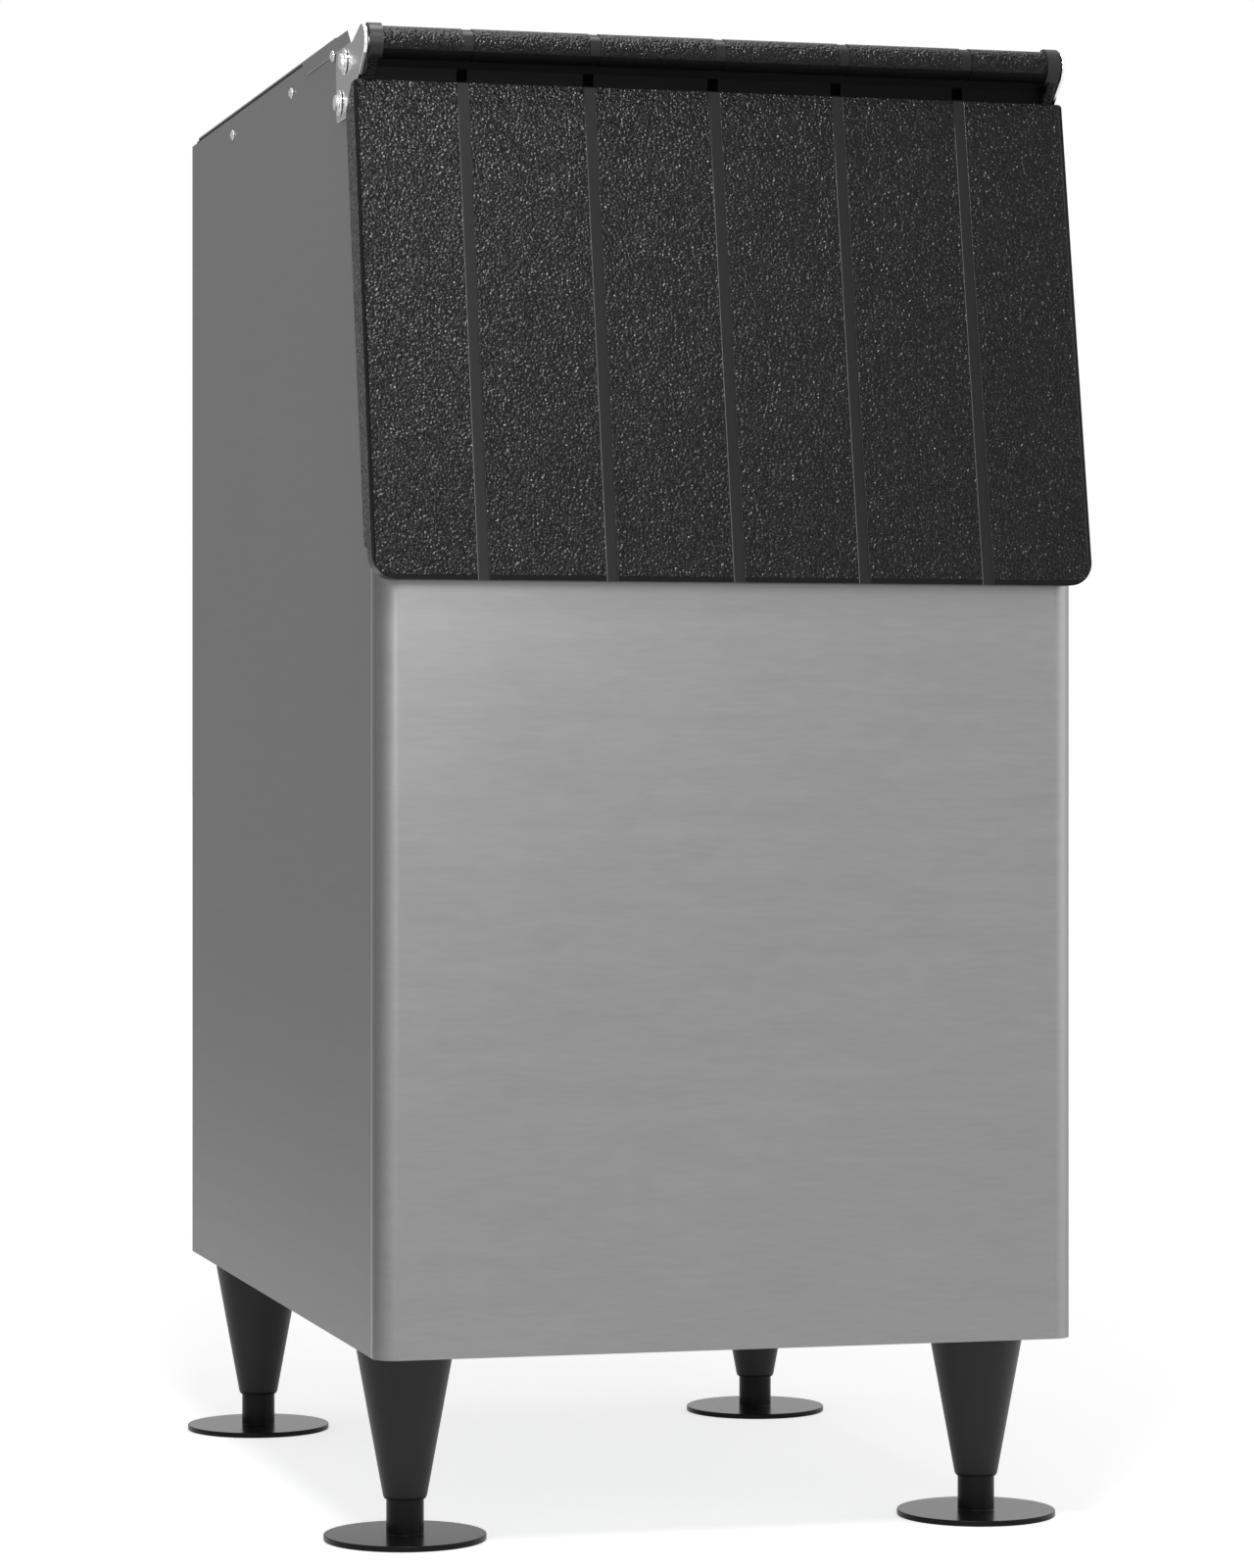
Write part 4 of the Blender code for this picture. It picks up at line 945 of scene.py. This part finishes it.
# Door shell: a shallow tray with rounded rims
shell = extruded("door_shell_skin", [rounded([
    (door_front_y(door_bottom_z), door_bottom_z, 0), (door_lip_y, door_bottom_z, 0),
    (door_lip_y, flange_low_z, 0), (face_y(flange_low_z) + flange_overlap, flange_low_z, flange_low_radius),
    (face_y(flange_high_z) + flange_overlap, flange_high_z, flange_high_radius),
    (flange_shoulder_y, door_top_z, 0), (door_front_y(door_top_z), door_top_z, 0)])],
    -overrun, overrun, "X")
front_view = extruded("front_view", [rounded([
    (-door_half_width, door_bottom_z, door_corner_radius),
    (door_half_width, door_bottom_z, door_corner_radius),
    (door_half_width, door_top_z, door_top_corner_radius),
    (-door_half_width, door_top_z, door_top_corner_radius)])], -overrun, overrun, "Y")
combined(shell, front_view, "INTERSECT")
softened(shell, door_rim, segments=4, angle=door_rim_angle)
door_angle = math.atan(door_slope_share)
wall_run = door_wall / math.cos(door_angle)
cavity_low_z = door_bottom_z + door_wall
cavity_x = door_half_width - door_wall
cavity_radius = door_corner_radius - door_wall
over_top = door_top_z + overrun
cavity = extruded("cavity", [[
    (door_front_y(cavity_low_z) + wall_run, cavity_low_z), (overrun, cavity_low_z), (overrun, over_top),
    (door_front_y(over_top) + wall_run, over_top)]], -overrun, overrun, "X")
cavity_view = extruded("cavity_view", [rounded([
    (-cavity_x, cavity_low_z, cavity_radius), (cavity_x, cavity_low_z, cavity_radius),
    (cavity_x, over_top, 0), (-cavity_x, over_top, 0)])], -overrun, overrun, "Y")
combined(shell, combined(cavity, cavity_view, "INTERSECT"))

# Neck under the barrel
neck_x = barrel_half_length - lug_width / 2
neck = extruded("neck", [rounded(by_pivot([
    (neck_toe_run, neck_base_drop, 0), (neck_heel_run, neck_base_drop, 0),
    (neck_heel_run, neck_foot_drop, 0), (neck_back_run, neck_foot_drop, 0),
    (neck_back_run, neck_back_drop, 0), (neck_crown_run, 0, 0), (neck_throat_run, neck_throat_drop, 0),
    (neck_throat_low_run, neck_throat_low_drop, 0), (neck_wall_run, neck_wall_drop, neck_wall_radius),
    (neck_wall_low_run, neck_foot_drop, 0), (neck_toe_run, neck_foot_drop, 0)]))], -neck_x, neck_x, "X")
combined(shell, neck, "UNION")

# Smooth grooves down the face, and a pocket in the neck above each
groove_length = (door_top_z - door_bottom_z) / math.cos(door_angle) + groove_overrun
groove_places = [step * groove_spacing for step in (-2, -1, 0, 1, 2)]
on_door_face = Matrix.Translation((0, door_front_y(door_bottom_z), door_bottom_z))
on_door_face = on_door_face @ Matrix.Rotation(-door_angle, 4, "X")
for middle in groove_places:
    low, high = middle - groove_width / 2, middle + groove_width / 2
    groove = extruded("groove", [[
        (low, -groove_overrun), (high, -groove_overrun), (high, groove_length), (low, groove_length)]],
        -groove_reach, groove_depth, "Y")
    groove.data.transform(on_door_face)
    combined(shell, groove)
    for edge, lip in ((low, -groove_lip_left), (high, groove_lip_right)):
        over = lip + math.copysign(groove_reach / groove_lip_slope, lip)
        slope = extruded("groove_lip", [[
            (edge + over, -groove_reach), (edge, abs(lip) * groove_lip_slope), (edge, -groove_reach)]],
            -groove_overrun, groove_length, "Z")
        slope.data.transform(on_door_face)
        combined(shell, slope)
    pocket = extruded("pocket", [by_pivot([
        (pocket_front_run, pocket_low_drop), (neck_wall_low_run + pocket_depth, pocket_low_drop),
        (neck_wall_low_run + pocket_depth, pocket_high_drop), (pocket_front_run, pocket_high_drop)])],
        low, high, "X")
    combined(shell, pocket)

# Barrel with its smooth bands
bush_end = barrel_half_length - bush_seat_depth
band_radius = barrel_radius - barrel_groove_depth
barrel_profile = [
    (0, bush_end), (bush_seat_radius, bush_end), (bush_seat_radius, barrel_inner_end),
    (barrel_radius, barrel_inner_end)]
for middle in reversed(groove_places):
    low, high = middle - groove_width / 2, middle + groove_width / 2
    barrel_profile += [(barrel_radius, high), (band_radius, high), (band_radius, low), (barrel_radius, low)]
barrel_profile += [(radius, -x) for radius, x in reversed(barrel_profile[:4])]
combined(shell, laid_along_x(turned("barrel", barrel_profile), 0, pivot_y, pivot_z, 1), "UNION")

# Pebbled grain on the face, the flanges and the barrel, with painted glints on the flanges; smooth rims and
# grooves, with a painted highlight on the groove lips; painted shade on the smooth neck, its pockets and the
# barrel's underside
front_normal = (0, -math.cos(door_angle), math.sin(door_angle))
door_surfaces = [door_grain, door_smooth, door_neck, door_pocket, flange_grain, door_lip]
for face in shell.data.polygons:
    x, y, z = face.center
    facing = sum(a * b for a, b in zip(face.normal, front_normal))
    ends = [shell.data.vertices[i].co.x for i in face.vertices]
    band_reach = min(max(abs(end - middle) for end in ends) for middle in groove_places)
    on_band = band_reach < groove_width / 2 + edge_margin
    on_barrel = math.hypot(y - pivot_y, z - pivot_z) < barrel_radius + edge_margin
    on_barrel = on_barrel and abs(face.normal.x) < side_share
    on_face = facing > face_share and z < door_top_z
    on_flange = abs(face.normal.x) > flange_share and abs(x) > door_half_width - edge_margin
    above_foot = z > pivot_z - neck_foot_drop + neck_foot_margin
    on_neck = not on_barrel and above_foot and abs(x) < neck_x + edge_margin
    under_barrel = on_barrel and face.normal.z < -side_share
    # Groove lip chamfers take the lighter, glossier copy: a painted highlight line
    on_lip = lip_low_share < facing < lip_high_share and z < door_top_z
    on_lip = on_lip and abs(face.normal.x) > lip_side_share
    if on_lip:
        chosen = door_lip
    # Pockets, neck and the barrel's underside take the near-black copies: painted shade
    elif on_neck and on_band:
        chosen = door_pocket
    elif on_neck or under_barrel:
        chosen = door_neck
    # Flanges take the pebbled grain with painted glints
    elif on_flange:
        chosen = flange_grain
    elif (on_face or on_barrel) and not on_band:
        chosen = door_grain
    else:
        chosen = door_smooth
    face.material_index = door_surfaces.index(chosen)
piece(shell, "door", "door_plastic", door_surfaces, "door_shell")

# Smooth lug at each end of the barrel, and the pebbled arm that carries it
arm_outline = rounded(by_pivot([
    (arm_back_run, arm_back_drop, 0), (arm_nose_run, arm_nose_drop, 0),
    (arm_chin_run, arm_chin_drop, arm_chin_radius), (arm_foot_run, arm_foot_drop, 0),
    (arm_rear_run, arm_foot_drop, 0)]))
for side, side_name in SIDES:
    low, high = sorted((side * barrel_inner_end, side * barrel_half_length))
    name = "door_lug_" + side_name
    lug = extruded(name, [ring_points(pivot_y, pivot_z, lug_radius),
                          ring_points(pivot_y, pivot_z, bush_seat_radius)], low, high, "X")
    softened(lug, lug_edge, segments=5, angle=door_rim_angle)
    piece(lug, "door", "door_plastic", [lug_smooth], "door_shell")
    low, high = sorted((side * (barrel_half_length - arm_width), side * (barrel_half_length - arm_inset)))
    arm = extruded("door_arm_" + side_name, [arm_outline], low, high, "X")
    softened(arm, lug_edge, segments=5, angle=door_rim_angle)
    piece(arm, "door", "door_plastic", [lug_grain], "door_shell")


def seen_rays(tree, *kinds):
    """Value that is 1 on the named kinds of ray and 0 on the others."""
    path = tree.nodes.new("ShaderNodeLightPath")
    found = path.outputs[kinds[0]]
    for kind in kinds[1:]:
        found = arithmetic(tree, found, path.outputs[kind], "MAXIMUM")
    return found


def cleared_tree(holder):
    """The node tree of a material or a world, emptied."""
    holder.use_nodes = True
    holder.node_tree.nodes.clear()
    return holder.node_tree


def grey_node(tree, kind, level):
    """New shader node of a plain grey."""
    made = tree.nodes.new(kind)
    made.inputs["Color"].default_value = (level, level, level, 1)
    return made


def own_places(tree):
    """The object's own places."""
    return tree.nodes.new("ShaderNodeTexCoord").outputs["Object"]


def joined_output(tree, kind, shader):
    """Joins a shader to the tree's output."""
    tree.links.new(shader, tree.nodes.new(kind).inputs["Surface"])


# Floor, white to the camera and in reflections, which keeps the object's shadow
floor_mesh = bpy.data.meshes.new("floor")
floor_mesh.from_pydata([(x * floor_reach, y * floor_reach, -floor_drop) for x, y in (
    (-1, -1), (1, -1), (1, 1), (-1, 1))], [], [(0, 1, 2, 3)])
floor = add("floor", floor_mesh)
floor_surface = bpy.data.materials.new("floor")
tree = cleared_tree(floor_surface)
diffuse = grey_node(tree, "ShaderNodeBsdfDiffuse", floor_grey)
glow = grey_node(tree, "ShaderNodeEmission", 1)
reflected = seen_rays(tree, "Is Glossy Ray", "Is Transmission Ray")
direct = seen_rays(tree, "Is Camera Ray")
away = tree.nodes.new("ShaderNodeVectorMath")
away.operation = "LENGTH"
tree.links.new(own_places(tree), away.inputs[0])


def glow_on(rays, near, far):
    """Glow on one sort of ray, which grows from the lamps' pool outwards as their light fades."""
    level = spread_value(tree, away.outputs["Value"], near, far, pool_reach, fade_reach)
    return arithmetic(tree, rays, level, "MULTIPLY")


lift = arithmetic(tree, glow_on(reflected, reflected_near, reflected_far),
                  glow_on(direct, direct_near, direct_far))
tree.links.new(lift, glow.inputs["Strength"])
both = tree.nodes.new("ShaderNodeAddShader")
tree.links.new(diffuse.outputs["BSDF"], both.inputs[0])
tree.links.new(glow.outputs["Emission"], both.inputs[1])
joined_output(tree, "ShaderNodeOutputMaterial", both.outputs["Shader"])
floor_mesh.materials.append(floor_surface)

# World, white to the camera and in reflections, and a softer grey as light
world = bpy.data.worlds.new("studio")
bpy.context.scene.world = world
tree = cleared_tree(world)
sky = grey_node(tree, "ShaderNodeBackground", 1)
seen = seen_rays(tree, "Is Camera Ray", "Is Glossy Ray", "Is Transmission Ray")
tree.links.new(spread_value(tree, seen, world_light, 1.0), sky.inputs["Strength"])
joined_output(tree, "ShaderNodeOutputWorld", sky.outputs["Background"])


def lamp(name, place, target, size, power):
    """Soft square lamp aimed at a place: its sheen on glossy surfaces, and a plainer level on matt ones."""
    aim = [t - p for t, p in zip(target, place)]
    turn = math.atan2(aim[1], aim[0]) - math.pi / 2
    tilt = math.atan2(math.hypot(aim[0], aim[1]), -aim[2])
    for part, share in (("sheen", 1.0), ("matt", matt_share)):
        light = bpy.data.lights.new(f"{name}_{part}", "AREA")
        light.shape = "SQUARE"
        light.size = size
        light.energy = power * share
        thing = bpy.data.objects.new(light.name, light)
        scratch.objects.link(thing)
        thing.visible_camera = False
        thing.visible_diffuse = part == "matt"
        thing.visible_glossy = part == "sheen"
        thing.location = place
        thing.rotation_euler = (tilt, 0, turn)


lamp("key", place=(-0.46, -1.50, 2.05), target=(-0.1, -0.40, 0.9), size=0.42, power=30)
lamp("low_key", place=(-0.26, -2.10, 1.20), target=(-0.1, -0.40, 0.8), size=0.50, power=7.0)
lamp("fill", place=(2.5, -1.1, 0.9), target=(0, 0, 0.6), size=2.4, power=18)
lamp("above", place=(0, -0.3, 2.6), target=(0, -0.2, 1.1), size=0.9, power=19)

# Grey cards at the left, seen in reflections alone, which darken towards the rear
card_mesh = bpy.data.meshes.new("card")
card_mesh.from_pydata([
    (card_left, card_front, card_lift), (card_left, card_rear, card_lift), (card_right, card_rear, card_lift),
    (card_left, card_front, card_top), (card_left, card_rear, card_top), (card_right, card_rear, card_top),
    (card_left, front_y, card_lift), (card_floor_right, front_y, card_lift),
    (card_floor_right, card_rear, card_lift)], [],
    [(0, 1, 4, 3), (1, 2, 5, 4), (6, 7, 8, 1)])
card = add("card", card_mesh)
card.visible_camera = False
card.visible_diffuse = False
card.visible_shadow = False
card_surface = bpy.data.materials.new("card")
tree = cleared_tree(card_surface)
grey = grey_node(tree, "ShaderNodeEmission", 1)
place = tree.nodes.new("ShaderNodeSeparateXYZ")
tree.links.new(own_places(tree), place.inputs["Vector"])
fade = spread_value(tree, place.outputs["Y"], 1.0, card_dim, card_front, card_dark, "SMOOTHSTEP")
tree.links.new(fade, grey.inputs["Strength"])
joined_output(tree, "ShaderNodeOutputMaterial", grey.outputs["Emission"])
card_mesh.materials.append(card_surface)

# Camera at the photograph's place
lens = bpy.data.cameras.new("photo_camera")
lens.sensor_fit = "AUTO"
lens.sensor_width = sensor_size
lens.lens = focal_pixels / photo_height * sensor_size
lens.shift_y = (centre_row - photo_height / 2) / photo_height
lens.clip_end = view_reach
camera = bpy.data.objects.new("photo_camera", lens)
scratch.objects.link(camera)
camera.location = camera_place
camera.rotation_euler = (math.pi / 2, 0, -camera_turn)
bpy.context.scene.camera = camera

# Colours shown as they are rendered
bpy.context.scene.view_settings.view_transform = "Standard"
